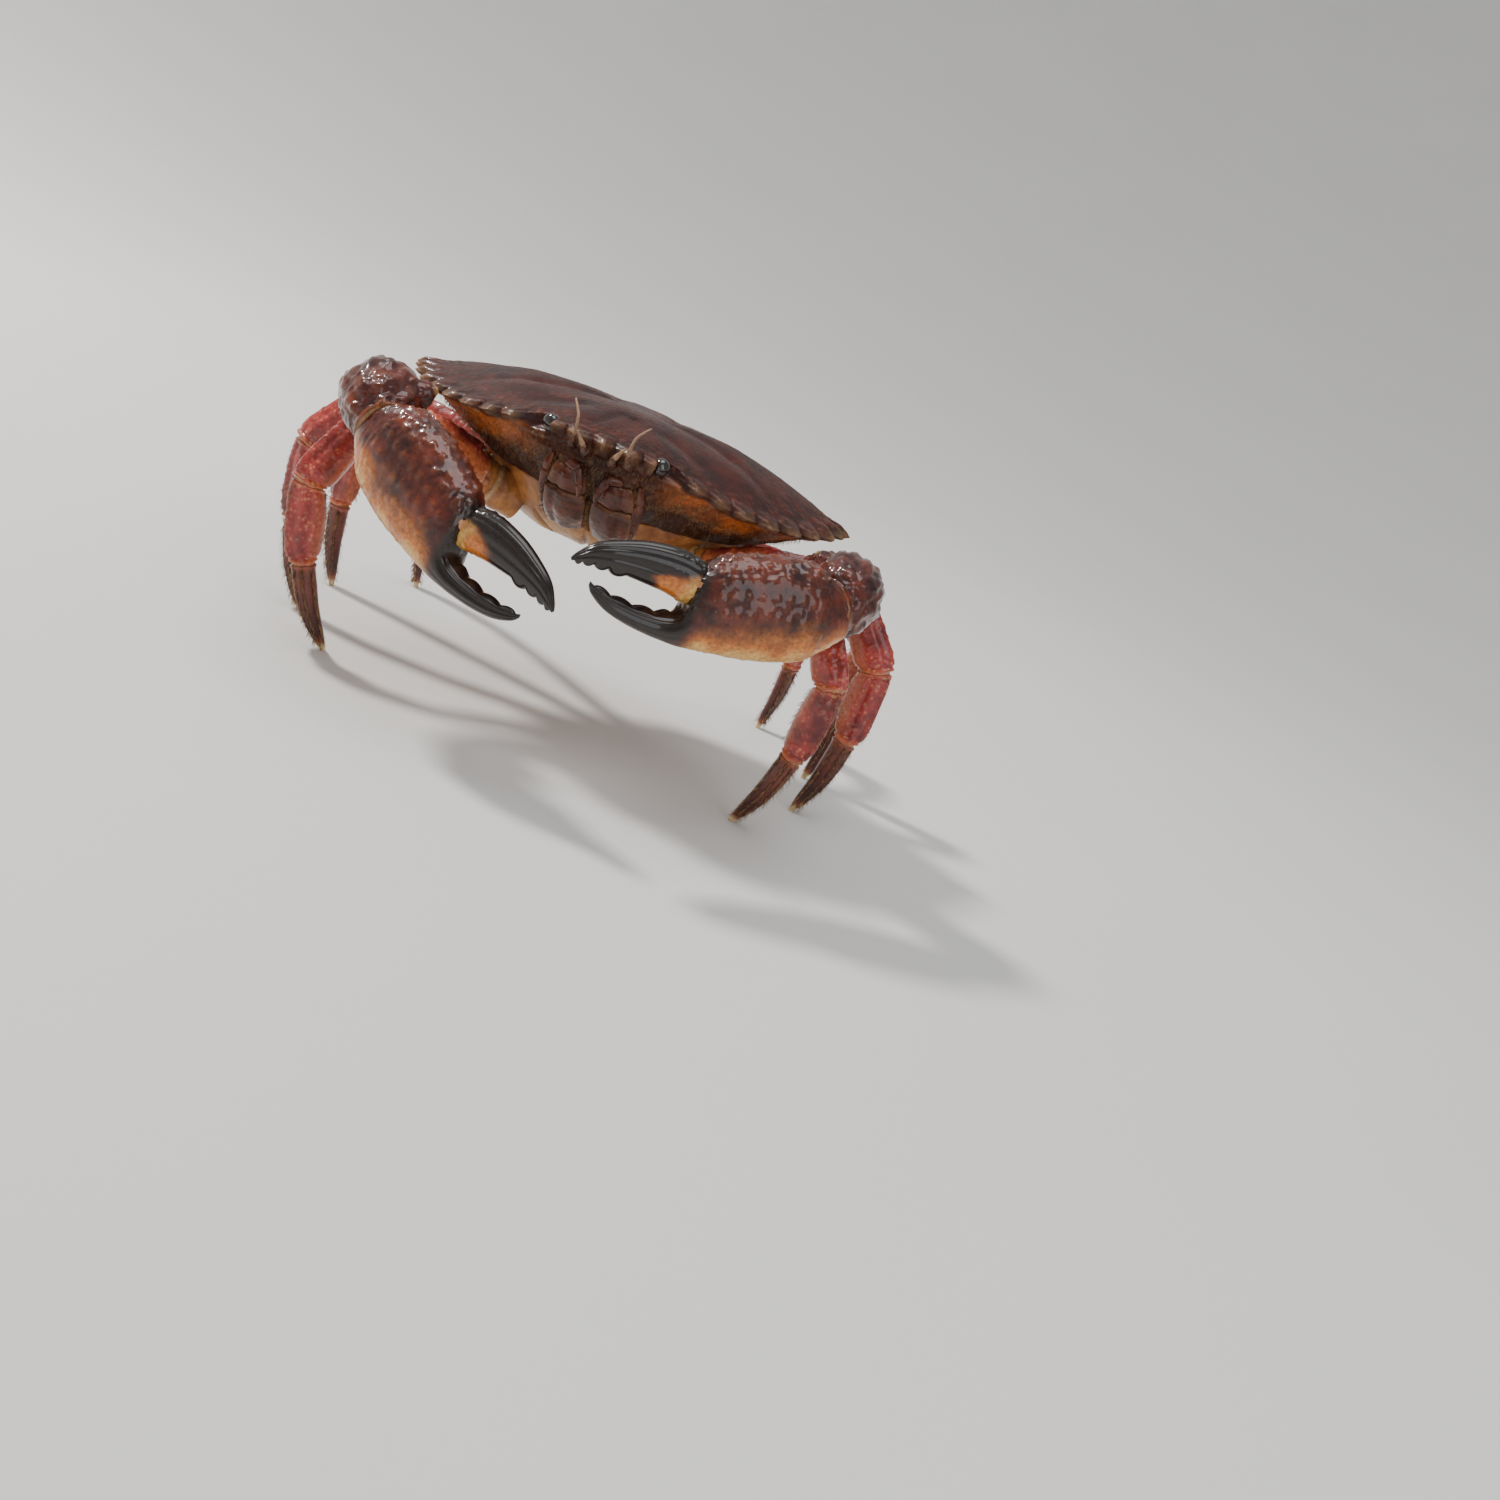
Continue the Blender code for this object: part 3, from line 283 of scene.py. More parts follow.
# Finishes: the colours deep, light, spot, warm (underneath), pale (edges and joints) and dark, then the
# strength of the spots, the span of the roughness and the weight of the coat
FINISH_PARTS = ("deep", "light", "spot", "warm", "pale", "dark", "spots", "rough", "coat")
FINISHES = {
    "shell": (
        (0.020, 0.005, 0.004), (0.068, 0.012, 0.008), (0.20, 0.035, 0.012), (0.58, 0.155, 0.03),
        (0.62, 0.36, 0.18), (0.030, 0.012, 0.008), 0.25, (0.34, 0.50), 0.14,
    ),
    "claw": (
        (0.030, 0.006, 0.005), (0.155, 0.026, 0.014), (0.34, 0.075, 0.024), (0.72, 0.21, 0.03),
        (0.92, 0.60, 0.17), (0.014, 0.008, 0.006), 0.25, (0.26, 0.42), 0.7,
    ),
    "leg": (
        (0.15, 0.018, 0.019), (0.50, 0.058, 0.050), (0.78, 0.27, 0.14), (0.72, 0.21, 0.075),
        (0.86, 0.56, 0.40), (0.075, 0.013, 0.012), 0.8, (0.25, 0.42), 0.6,
    ),
    "leg_tip": (
        (0.050, 0.015, 0.013), (0.16, 0.036, 0.030), (0.36, 0.09, 0.05), (0.40, 0.105, 0.055),
        (0.80, 0.60, 0.30), (0.040, 0.014, 0.010), 0.35, (0.28, 0.45), 0.5,
    ),
    "underside": (
        (0.26, 0.085, 0.028), (0.58, 0.26, 0.075), (0.34, 0.06, 0.02), (0.66, 0.24, 0.05),
        (0.80, 0.58, 0.32), (0.055, 0.022, 0.012), 0.45, (0.3, 0.5), 0.5,
    ),
    "membrane": (
        (0.34, 0.085, 0.035), (0.58, 0.23, 0.085), (0.50, 0.16, 0.06), (0.62, 0.22, 0.06),
        (0.72, 0.42, 0.22), (0.16, 0.055, 0.03), 0.2, (0.35, 0.5), 0.4,
    ),
    "mouthpart": (
        (0.055, 0.014, 0.009), (0.19, 0.050, 0.026), (0.36, 0.15, 0.065), (0.42, 0.13, 0.045),
        (0.46, 0.23, 0.11), (0.030, 0.011, 0.008), 0.3, (0.25, 0.42), 0.5,
    ),
    "feeler": (
        (0.16, 0.055, 0.03), (0.38, 0.18, 0.09), (0.50, 0.26, 0.12), (0.55, 0.25, 0.08),
        (0.70, 0.48, 0.28), (0.06, 0.02, 0.012), 0.2, (0.25, 0.4), 0.6,
    ),
}
MASKS = ("warm", "pale", "dark")


def unit(vector):
    vector = np.asarray(vector, float)
    return vector / np.linalg.norm(vector, axis=-1, keepdims=True)


def ease(low, high, value):
    """0 on the side of low and 1 on the side of high, smooth between them."""
    share = np.clip((value - low) / (high - low), 0.0, 1.0)
    return share * share * (3.0 - 2.0 * share)


def bell(value, centre, width):
    """1 at the centre, falling off smoothly over the width."""
    return np.exp(-(((value - centre) / width) ** 2))


def bells(value, rows):
    """The sum of bells given as height, centre and width."""
    return sum(height * bell(value, centre, width) for height, centre, width in rows)


def around(count):
    """The angles of points evenly round a circle."""
    return np.arange(count) * CIRCLE / count


def mirrored(points, side):
    """Points or directions of the left side, turned over for the right."""
    return np.array(points) * (SIDES[side], 1.0, 1.0)


def through(points, places):
    """A smooth curve through points, read at places counted in points from 0."""
    points = np.asarray(points, float)
    places = np.clip(np.atleast_1d(np.asarray(places, float)), 0.0, len(points) - 1.0)
    first = np.minimum(places.astype(int), len(points) - 2)
    share = (places - first)[:, None]
    before = points[np.maximum(first - 1, 0)]
    start = points[first]
    end = points[first + 1]
    after = points[np.minimum(first + 2, len(points) - 1)]
    slope = 0.5 * (end - before)
    slope_after = 0.5 * (after - start)
    return (
        start * (2 * share**3 - 3 * share**2 + 1)
        + slope * (share**3 - 2 * share**2 + share)
        + end * (3 * share**2 - 2 * share**3)
        + slope_after * (share**3 - share**2)
    )


def at_shares(points, shares):
    """A smooth curve through points, read at shares of the way along."""
    return through(points, shares * (len(points) - 1))


# Noise in space, the same on every run

def chance(cells, seed):
    """A number from 0 to 1 for each whole cell of space."""
    x, y, z = np.moveaxis(cells.astype(np.int64), -1, 0)
    code = x * 73856093 ^ y * 19349663 ^ z * 83492791 ^ seed * 15485863
    code = (code * 2246822519) & 0xFFFFFFFF
    code = ((code ^ (code >> 13)) * 3266489917) & 0xFFFFFFFF
    return (code ^ (code >> 16)) / 4294967296.0


def cloud(points, size, seed):
    """Smooth noise from -1 to 1, with lumps of about the size."""
    scaled = points / size
    base = np.floor(scaled)
    share = ease(0.0, 1.0, scaled - base)
    total = np.zeros(points.shape[:-1])
    for corner in np.ndindex(2, 2, 2):
        corner = np.array(corner)
        weight = np.prod(np.where(corner, share, 1.0 - share), axis=-1)
        total += weight * chance(base + corner, seed)
    return total * 2.0 - 1.0


def grains(points, size, seed, fill=0.8):
    """Round grains scattered in space: 1 at the top of a grain, 0 between them."""
    scaled = points / size
    base = np.floor(scaled)
    height = np.zeros(points.shape[:-1])
    for corner in np.ndindex(3, 3, 3):
        cell = base + np.array(corner) - 1.0
        jitter = np.stack([chance(cell, seed + turn) for turn in (1, 2, 3)], axis=-1)
        radius = 0.34 + 0.22 * chance(cell, seed + 4)
        away = np.linalg.norm(scaled - cell - jitter, axis=-1) / radius
        here = np.where(chance(cell, seed + 5) < fill, np.clip(1.0 - away**2, 0.0, 1.0), 0.0)
        height = np.maximum(height, here)
    return np.sqrt(height)


# Meshes

class Skin:
    """A closed sheet of points that wraps round, from one end to the other, with masks for its colours."""

    def __init__(self, points):
        self.points = np.array(points, float)
        rows, columns, _ = self.points.shape
        self.share = np.linspace(0.0, 1.0, rows)[:, None] * np.ones((1, columns))
        self.angle = np.ones((rows, 1)) * around(columns)
        self.rise = np.sin(self.angle)
        self.beside = np.cos(self.angle)
        self.masks = {name: np.zeros((rows, columns)) for name in MASKS}

    def facing(self):
        """1 where the sheet's own normals point outwards, -1 where they point in."""
        points = self.points - self.points.mean(axis=(0, 1))
        beside = np.roll(points, -1, axis=1)
        volume = np.einsum("ijk,ijk->", points[:-1], np.cross(beside[:-1], points[1:]))
        volume += np.einsum("ijk,ijk->", beside[:-1], np.cross(beside[1:], points[1:]))
        return 1.0 if volume > 0 else -1.0

    def normals(self):
        across = np.roll(self.points, -1, axis=1) - np.roll(self.points, 1, axis=1)
        along = np.gradient(self.points, axis=0)
        normal = np.cross(across, along)
        length = np.linalg.norm(normal, axis=-1, keepdims=True)
        return normal / np.maximum(length, 1e-9) * self.facing()

    def push(self, amount):
        self.points += self.normals() * amount[..., None]

    def stain(self, name, amount):
        self.masks[name] = np.clip(self.masks[name] + amount, 0.0, 1.0)
        return self

    def band(self, place, width):
        """A bell round a place from end to end."""
        return bell(self.share, place, width)

    def line(self, degrees, width):
        """A bell round an angle of the section, both in degrees."""
        away = (np.degrees(self.angle) - degrees + 180.0) % 360.0 - 180.0
        return bell(away, 0.0, width)

    def lines(self, turns, width):
        return sum(self.line(turn, width) for turn in turns)

    def middle(self, start, full, last, end):
        """1 from full to last, falling off to 0 at start and at end."""
        return ease(start, full, self.share) * ease(end, last, self.share)

    def cloud(self, size, seed):
        return cloud(self.points, size, seed)

    def grains(self, size, seed, fill=0.8):
        return grains(self.points, size, seed, fill)


def placed(points):
    """Points in metres in the frame, held inside the box of the solids."""
    low, high = (np.array(corner) for corner in cad_bounds)
    return np.clip(points.reshape(-1, 3) * MM + ORIGIN, low, high).tolist()


def mesh_of(name, skins):
    """One mesh of several skins, each closed by a fan over its two ends."""
    vertices = []
    faces = []
    masks = {mask: [] for mask in MASKS}
    count = 0
    for skin in skins:
        rows, columns, _ = skin.points.shape
        grid = count + np.arange(rows * columns).reshape(rows, columns)
        beside = np.roll(grid, -1, axis=1)
        quads = np.stack([grid[:-1], beside[:-1], beside[1:], grid[1:]], axis=-1).reshape(-1, 4)
        middles = count + rows * columns + np.arange(2)
        first = np.stack([beside[0], grid[0], np.full(columns, middles[0])], axis=-1)
        last = np.stack([grid[-1], beside[-1], np.full(columns, middles[1])], axis=-1)
        if skin.facing() < 0:
            quads, first, last = quads[:, ::-1], first[:, ::-1], last[:, ::-1]
        vertices += [skin.points.reshape(-1, 3), skin.points[[0, -1]].mean(axis=1)]
        faces += quads.tolist() + first.tolist() + last.tolist()
        for mask in MASKS:
            values = skin.masks[mask]
            masks[mask] += [values.ravel(), values[[0, -1]].mean(axis=1)]
        count += rows * columns + 2
    mesh = bpy.data.meshes.new(name)
    mesh.from_pydata(placed(np.concatenate(vertices)), [], faces)
    for mask in MASKS:
        layer = mesh.attributes.new(mask, "FLOAT", "POINT")
        layer.data.foreach_set("value", np.concatenate(masks[mask]).astype(np.float32))
    mesh.shade_smooth()
    return mesh


def in_scene(name, data):
    made = bpy.data.objects.new(name, data)
    bpy.context.scene.collection.objects.link(made)
    return made


def add_piece(name, mesh, finish, stands_for):
    """A piece of the crab that stands for a node of the frame."""
    piece = in_scene(name, mesh)
    mesh.materials.append(MATERIALS[finish])
    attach(piece, "root")
    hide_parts(stands_for)


def add_skins(name, skins, finish, stands_for):
    add_piece(name, mesh_of(name, skins), finish, stands_for)


def add_bristles(name, tufts, stands_for):
    """Thin tapered bristles as one mesh, each with a small patch of its own in the OFBake map."""
    roots, ways, lengths, widths, places = (np.concatenate(rows) for rows in zip(*tufts))
    ways = unit(ways)
    across = unit(np.cross(ways, (0.21, 0.33, 0.92)))
    beyond = np.cross(ways, across)
    turns = around(3)
    spokes = np.cos(turns)[:, None] * across[:, None] + np.sin(turns)[:, None] * beyond[:, None]
    spokes = spokes * widths[:, None, None]
    sag = np.array([0.0, 0.0, -0.12]) * lengths[:, None]
    foot = (roots - ways * 0.3)[:, None] + spokes
    waist = (roots + ways * lengths[:, None] * 0.55 + sag * 0.3)[:, None] + spokes * 0.7
    tip = (roots + ways * lengths[:, None] + sag)[:, None]
    start = np.arange(len(roots))[:, None] * 7
    triangles = [(0, 2, 1)]
    for i in range(3):
        j = (i + 1) % 3
        triangles += [(i, j, 3 + j), (i, 3 + j, 3 + i), (3 + i, 3 + j, 6)]
    faces = (start[:, :, None] + np.array(triangles)[None]).reshape(-1, 3)
    mesh = bpy.data.meshes.new(name)
    mesh.from_pydata(placed(np.concatenate([foot, waist, tip], axis=1)), [], faces.tolist())
    corners = np.array([(0, 0), (1, 0), (0, 1), (0, 0.6), (1, 0.6), (0.5, 1), (0.5, 0.9)]) * 0.003
    corners = (places[:, None] + corners[None]).reshape(-1, 2)
    layer = mesh.uv_layers.new(name="OFBake")
    layer.data.foreach_set("uv", corners[faces.ravel()].ravel())
    mesh.shade_smooth()
    add_piece(name, mesh, "bristles", stands_for)


def tuft(skin, rows, columns, kind, seed):
    """Bristles rooted on a skin, leaning along it: roots, ways, lengths, widths and places in the map."""
    _, lean, length, width = BRISTLES[kind]
    random = np.random.default_rng(seed)
    normals = skin.normals()[rows, columns]
    along = unit(np.gradient(skin.points, axis=0)[rows, columns])
    ways = normals + along * lean + random.normal(0.0, 0.18, normals.shape)
    spread = 0.7 + 0.5 * random.random(len(rows))
    places = np.stack([skin.share[rows, columns], skin.angle[rows, columns] / CIRCLE], axis=-1) * 0.99
    return skin.points[rows, columns], ways, length * spread, np.full(len(rows), width), places


def near_turn(random, turn, spread, count, columns):
    """Columns of a skin scattered round an angle in degrees."""
    return np.round((turn + random.normal(0.0, spread, count)) / 360.0 * columns).astype(int) % columns


# Materials

def feed(material, socket, value):
    """Sets a socket to a number or a colour, or links another node's output to it."""
    if isinstance(value, bpy.types.NodeSocket):
        material.node_tree.links.new(value, socket)
    else:
        socket.default_value = (*value, 1.0) if isinstance(value, tuple) else value


def fill(material, made, **values):
    """Feeds the sockets of a node by name, with a low line for each space."""
    for name, value in values.items():
        feed(material, made.inputs[name.replace("_", " ")], value)


def node(material, kind, **values):
    """A shader node with its sockets filled by name."""
    made = material.node_tree.nodes.new(kind)
    fill(material, made, **values)
    return made


def texture(material, kind, **values):
    """A noise, or the distances of a Voronoi pattern, at a place in space."""
    made = node(material, "ShaderNodeTex" + kind, **values)
    return made.outputs["Fac" if kind == "Noise" else "Distance"]


def new_material(name):
    """A new material and its shader."""
    material = bpy.data.materials.new(name)
    material.use_nodes = True
    return material, material.node_tree.nodes["Principled BSDF"]


def ramp(material, source, stops):
    made = node(material, "ShaderNodeValToRGB", Fac=source)
    for element, (place, value) in zip(made.color_ramp.elements, stops):
        element.position = place
        element.color = (value, value, value, 1.0)
    return made.outputs["Color"]


def mixed(material, share, first, second, blend="MIX"):
    """A mix of two colours, which go into the sockets 6 and 7 of the node."""
    made = node(material, "ShaderNodeMix", Factor=share)
    made.data_type = "RGBA"
    made.blend_type = blend
    feed(material, made.inputs[6], first)
    feed(material, made.inputs[7], second)
    return made.outputs[2]


def maths(material, kind, first, second):
    made = node(material, "ShaderNodeMath")
    made.operation = kind
    feed(material, made.inputs[0], first)
    feed(material, made.inputs[1], second)
    return made.outputs[0]


def wet_shell(name, finish):
    """Wet, mottled crab shell: two browns or reds in blotches, fine specks, and the three masks."""
    material, shader = new_material(name)
    finish = dict(zip(FINISH_PARTS, finish))
    place = node(material, "ShaderNodeTexCoord").outputs["Object"]
    blotch = texture(material, "Noise", Vector=place, Scale=140.0, Detail=5.0, Roughness=0.62)
    fine = texture(material, "Noise", Vector=place, Scale=900.0, Detail=3.0, Roughness=0.6)
    specks = texture(material, "Voronoi", Vector=place, Scale=620.0)
    pores = texture(material, "Voronoi", Vector=place, Scale=1500.0)
    share = ramp(material, blotch, ((0.36, 0.0), (0.66, 1.0)))
    colour = mixed(material, share, finish["deep"], finish["light"])
    where = ramp(material, specks, ((0.16, 1.0), (0.42, 0.0)))
    patchy = ramp(material, blotch, ((0.46, 0.0), (0.62, 1.0)))
    dots = maths(material, "MULTIPLY", maths(material, "MULTIPLY", where, patchy), finish["spots"])
    colour = mixed(material, dots, colour, finish["spot"])
    breakup = ramp(material, fine, ((0.3, 0.55), (0.6, 1.0)))
    for mask in MASKS:
        layer = node(material, "ShaderNodeAttribute")
        layer.attribute_name = mask
        amount = layer.outputs["Fac"]
        if mask != "dark":
            amount = maths(material, "MULTIPLY", amount, breakup)
        colour = mixed(material, amount, colour, finish[mask])
    shade = ramp(material, fine, ((0.25, 0.72), (0.7, 1.0)))
    low, high = finish["rough"]
    rough = node(material, "ShaderNodeMapRange", Value=fine, From_Min=0.3, From_Max=0.7)
    fill(material, rough, To_Min=low, To_Max=high)
    height = maths(material, "SUBTRACT", fine, maths(material, "MULTIPLY", pores, 0.4))
    bump = node(material, "ShaderNodeBump", Height=height, Strength=0.25, Distance=0.0002)
    fill(
        material,
        shader,
        Base_Color=mixed(material, 1.0, colour, shade, "MULTIPLY"),
        Roughness=rough.outputs["Result"],
        Normal=bump.outputs["Normal"],
        Coat_Weight=finish["coat"],
        Coat_Roughness=0.04,
        Specular_IOR_Level=0.2,
    )
    return material


def glossy_eye():
    """A black cornea with a faint pattern of facets."""
    material, shader = new_material("cornea")
    place = node(material, "ShaderNodeTexCoord").outputs["Object"]
    facets = texture(material, "Voronoi", Vector=place, Scale=5200.0)
    tint = ramp(material, facets, ((0.1, 1.0), (0.6, 0.3)))
    colour = mixed(material, tint, (0.004, 0.003, 0.004), (0.022, 0.012, 0.010))
    bump = node(material, "ShaderNodeBump", Height=facets, Strength=0.15, Distance=0.00005)
    fill(material, shader, Base_Color=colour, Normal=bump.outputs["Normal"])
    fill(material, shader, Roughness=0.08, Coat_Weight=1.0)
    return material


def bristle_finish():
    """Brown to golden bristles."""
    material, shader = new_material("bristles")
    place = node(material, "ShaderNodeTexCoord").outputs["Object"]
    noise = texture(material, "Noise", Vector=place, Scale=700.0, Detail=2.0)
    share = ramp(material, noise, ((0.35, 0.0), (0.65, 1.0)))
    colour = mixed(material, share, (0.13, 0.05, 0.02), (0.46, 0.27, 0.11))
    rough = node(material, "ShaderNodeMapRange", Value=noise, To_Min=0.4, To_Max=0.6)
    fill(material, shader, Base_Color=colour, Roughness=rough.outputs["Result"])
    return material


# The shell

def tooth(share, tip):
    """Height of one tooth across its width: a short steep front edge, then a long rounded one."""
    rise = np.clip(share / tip, 0.0, 1.0) ** 0.8
    fall = 1.0 - np.clip((share - tip) / (1.0 - tip), 0.0, 1.0) ** 1.7
    return np.where(share < tip, rise, fall)


def teeth_at(place, run):
    """How far the teeth of a run stand out at a place along the margin."""
    length = (run["end"] - run["start"]) / run["count"]
    counted = (place - run["start"]) / length
    share = counted - np.floor(counted)
    low, high = run["height"]
    along = np.clip(counted / run["count"], 0.0, 1.0)
    inside = (place > run["start"]) & (place < run["end"])
    return np.where(inside, (low + (high - low) * along) * tooth(share, run["tip"]), 0.0)


def half_margin(places):
    """Base points of the margin, the outward step of its teeth and their height, along its left half."""
    base = through(MARGIN, places)
    along = through(MARGIN, places + 0.02) - through(MARGIN, places - 0.02)
    outward = unit(np.stack([along[:, 1], -along[:, 0], np.zeros(len(places))], axis=1))
    teeth = teeth_at(places, FRONT_TEETH) + teeth_at(places, SIDE_TEETH)
    share = np.clip((places - ORBIT["start"]) / (ORBIT["end"] - ORBIT["start"]), 0.0, 1.0)
    bulge = teeth - ORBIT["depth"] * np.sin(math.pi * share)
    return base, outward * bulge[:, None], teeth


def margin_ring(places):
    """The margin all round: base points, the step of its teeth and their height."""
    base, step, teeth = half_margin(places)
    ends, _, _ = half_margin(np.array([0.0, MARGIN_END]))
    tip = FRONT_TEETH["height"][0]
    base = np.concatenate([ends[:1], base, ends[1:], mirrored(base[::-1], "right")])
    step = np.concatenate([[(0.0, -tip, 0.0)], step, [(0.0, 0.0, 0.0)], mirrored(step[::-1], "right")])
    return base, step, np.concatenate([[tip], teeth, [0.0], teeth[::-1]])


def relief(x, y):
    """Rises and grooves of the shell's top, the same on both sides."""
    side = np.abs(x)
    height = np.zeros_like(x)
    for rise_x, rise_y, spread_x, spread_y, rise in RISES:
        height += rise * np.exp(-(((side - rise_x) / spread_x) ** 2) - ((y - rise_y) / spread_y) ** 2)
    for (x0, y0), (x1, y1), depth, breadth in GROOVES:
        length = math.hypot(x1 - x0, y1 - y0)
        along = np.clip(((side - x0) * (x1 - x0) + (y - y0) * (y1 - y0)) / length**2, 0.0, 1.0)
        away = np.hypot(side - x0 - along * (x1 - x0), y - y0 - along * (y1 - y0))
        height -= depth * bell(away, 0.0, breadth)
    return height


def top_ring(share, base, step):
    """One ring of the dorsal dome at a share of the way from its middle to the margin."""
    ring = BODY_CENTRE + (base - BODY_CENTRE) * share + step * ease(0.92, 1.0, share)
    ring[:, 2] = base[:, 2] + (DOME_HEIGHT - 1.4 - base[:, 2]) * (1.0 - share**2.6)
    ring[:, 2] += relief(ring[:, 0], ring[:, 1]) * (1.0 - share**4)
    ring[:, 2] -= 0.9 * ease(0.965, 1.0, share) ** 2
    return ring


def front_share(ring):
    """1 over the face, 0 from the shell's shoulder back."""
    return ease(30.0, 14.0, np.abs(ring[:, 0])) * ease(-20.0, -36.0, ring[:, 1])


def side_ring(depth, base, step):
    """One ring of the body below the margin: depth 0 is the margin, 1 the split, 2 the sternum's edge."""
    facing = front_share(base)
    rear = ease(8.0, 38.0, base[:, 1])
    split = 0.62 + 0.2 * rear + 0.1 * facing
    sternum = 0.36 + 0.26 * rear - 0.04 * facing
    inward = np.clip(depth, 0.0, 1.0)
    under = np.clip(depth - 1.0, 0.0, 1.0)
    reach = 1.0 + (split - 1.0) * inward ** (1.0 + 0.9 * facing) + (sternum - split) * under
    ring = BODY_CENTRE + (base - BODY_CENTRE) * reach[:, None] + step * (1.0 - ease(0.0, 0.14, depth))
    drop = inward ** (0.85 - 0.1 * facing)
    ring[:, 2] = base[:, 2] + (SPLIT_Z - base[:, 2]) * drop
    ring[:, 2] += (STERNUM_Z - SPLIT_Z) * np.sin(under * math.pi / 2)
    ring[:, 2] -= 0.9 * (1.0 - ease(0.0, 0.2, depth))
    return ring


def build_shell():
    """The shell: toothed, domed and grained, with its flanks turned in underneath."""
    fine = np.linspace(0.03, TEETH_END, MARGIN_FINE)
    places = np.concatenate([fine, np.linspace(TEETH_END + 0.08, MARGIN_END - 0.08, MARGIN_PLAIN)])
    base, step, teeth = margin_ring(places)
    shares = 1.0 - 0.99 * np.linspace(1.0, 0.0, TOP_ROWS) ** 1.3
    depths = np.linspace(0.0, 1.0, FLANK_ROWS)[1:] ** 1.25
    rings = [top_ring(share, base, step) for share in shares]
    skin = Skin(rings + [side_ring(depth, base, step) for depth in depths])
    top = np.concatenate([shares, np.full(len(depths), 1.0)])[:, None]
    depth = np.concatenate([np.zeros(len(shares)), depths])[:, None]
    tip = (teeth / SIDE_TEETH["height"][1])[None, :]
    flank = ease(0.0, 0.06, depth)
    edge = ease(0.72, 0.98, top) * (1.0 - flank)
    face = front_share(base)[None, :]
    coarse = skin.grains(2.1, 11, 0.7)
    height = coarse * (0.06 + 0.16 * edge + 0.14 * flank)
    height += skin.grains(1.0, 31, 0.9) * (0.035 + 0.05 * edge)
    height += 0.15 * skin.cloud(9.0, 51) * (1.0 - flank)
    height += face * flank * bells(depth, FACE_RIDGES)
    height += 0.35 * tip * bell(top, 0.955, 0.025) * (1.0 - flank)
    height += ease(14.0, 24.0, skin.points[..., 1]) * (1.0 - flank) * bells(top, REAR_RIM)
    height *= ease(0.005, 0.04, top)
    suture = bell(depth, 0.5 + 0.12 * face, 0.035) * flank
    height += 0.3 * flank * cloud(skin.points * (0.5, 0.5, 1.0), 3.0, 71) - 0.6 * suture
    skin.push(height)
    ragged = depth + 0.12 * skin.cloud(5.0, 91)
    orange = ease(0.02, 0.1, ragged) * ease(0.62, 0.3, ragged) * flank * (1.0 - 0.9 * face)
    blotched = 1.0 - 0.55 * ease(0.0, 0.6, skin.cloud(6.5, 93))
    skin.stain("warm", 0.95 * orange * blotched + 0.1 * coarse * edge)
    # Painted highlight: the tips of the teeth are paler right at the edge of the shell.
    skin.stain("pale", 0.4 * tip * ease(0.965, 1.0, top) * (1.0 - ease(0.0, 0.1, depth)))
    skin.stain("pale", 0.25 * suture + 0.22 * coarse * flank)
    # Painted shade: the flank darkens low down under the edge of the shell, and the face darkens too,
    # partly its own darker colour and partly painted shade.
    skin.stain("dark", 0.7 * ease(0.45, 0.8, depth) + 0.35 * face * flank)
    add_skins("shell_plate", [skin] + [orbit_rim(side) for side in SIDES], "shell", "carapace")
    return skin


def orbit_rim(side, turns=40, sides=12):
    """The raised ring round the foot of an eye, a tube whose two ends meet in a hidden seam."""
    foot, along, _ = mirrored(FACE_PIECES["eye"][0], side)
    centre = foot * 0.45 + along * 0.55
    axis = unit(along - foot)
    across = unit(np.cross(axis, (0.1, 0.2, 1.0)))
    beyond = np.cross(axis, across)
    angles = around(sides)
    rings = []
    for turn in np.linspace(0.0, CIRCLE, turns + 1):
        spoke = across * math.cos(turn) + beyond * math.sin(turn)
        out = np.cos(angles)[:, None] * spoke + np.sin(angles)[:, None] * axis
        rings.append(centre + spoke * ORBIT_RIM["radius"] + out * ORBIT_RIM["thickness"])
    return Skin(rings)


def build_breastplate():
    """The plates of the breast, with grooves between them, and the first joints of every limb."""
    base, step, _ = margin_ring(np.linspace(0.05, MARGIN_END - 0.05, BREAST_COLUMNS))
    rings = [side_ring(depth, base, step) for depth in np.linspace(1.0, 2.0, BREAST_ROWS)]
    middle = np.array([0.0, 2.0, STERNUM_Z - 0.6])
    inner = rings[-1]
    rings += [middle + (inner - middle) * share for share in np.linspace(1.0, 0.03, BREAST_ROWS)[1:]]
    skin = Skin(rings)
    x, y, z = np.moveaxis(skin.points, -1, 0)
    low = ease(-22.0, -28.0, z)
    grooves = bell(x, 0.0, 0.9)
    for number, line in enumerate(BREAST_GROOVES):
        bent = line + np.abs(x) * (-0.35 + 0.16 * number)
        grooves += bell(y, bent, 0.9) * ease(4.0, 8.0, np.abs(x))
    skin.push(0.12 * skin.cloud(4.0, 5) + 0.12 * skin.grains(1.4, 15) - 0.9 * grooves * low)
    skin.stain("dark", 0.45 * grooves * low)
    skin.stain("pale", 0.4 * low * (1.0 - np.clip(grooves, 0.0, 1.0)))
    skins = [skin]
    for side in SIDES:
        skins.append(arm_root(side))
        skins += [leg_root(side, number) for number in WALKING_LEGS]
    add_skins("breastplate", skins, "underside", "thorax")


def stub(end, way, upper, girth, grid):
    """The two first joints of a limb, as one stub that ends at its root."""
    skin = tube([end - way * STUB_LENGTH, end], upper, girth, grid, way, way)
    height = bells(skin.share, ROOT_RELIEF) + 0.16 * skin.grains(1.5, 25) + 0.1 * skin.cloud(3.0, 27)
    skin.push(height)
    skin.stain("pale", 0.7 * skin.band(0.72, 0.05))
    return skin.stain("warm", 0.5 * ease(0.75, 0.9, skin.share))


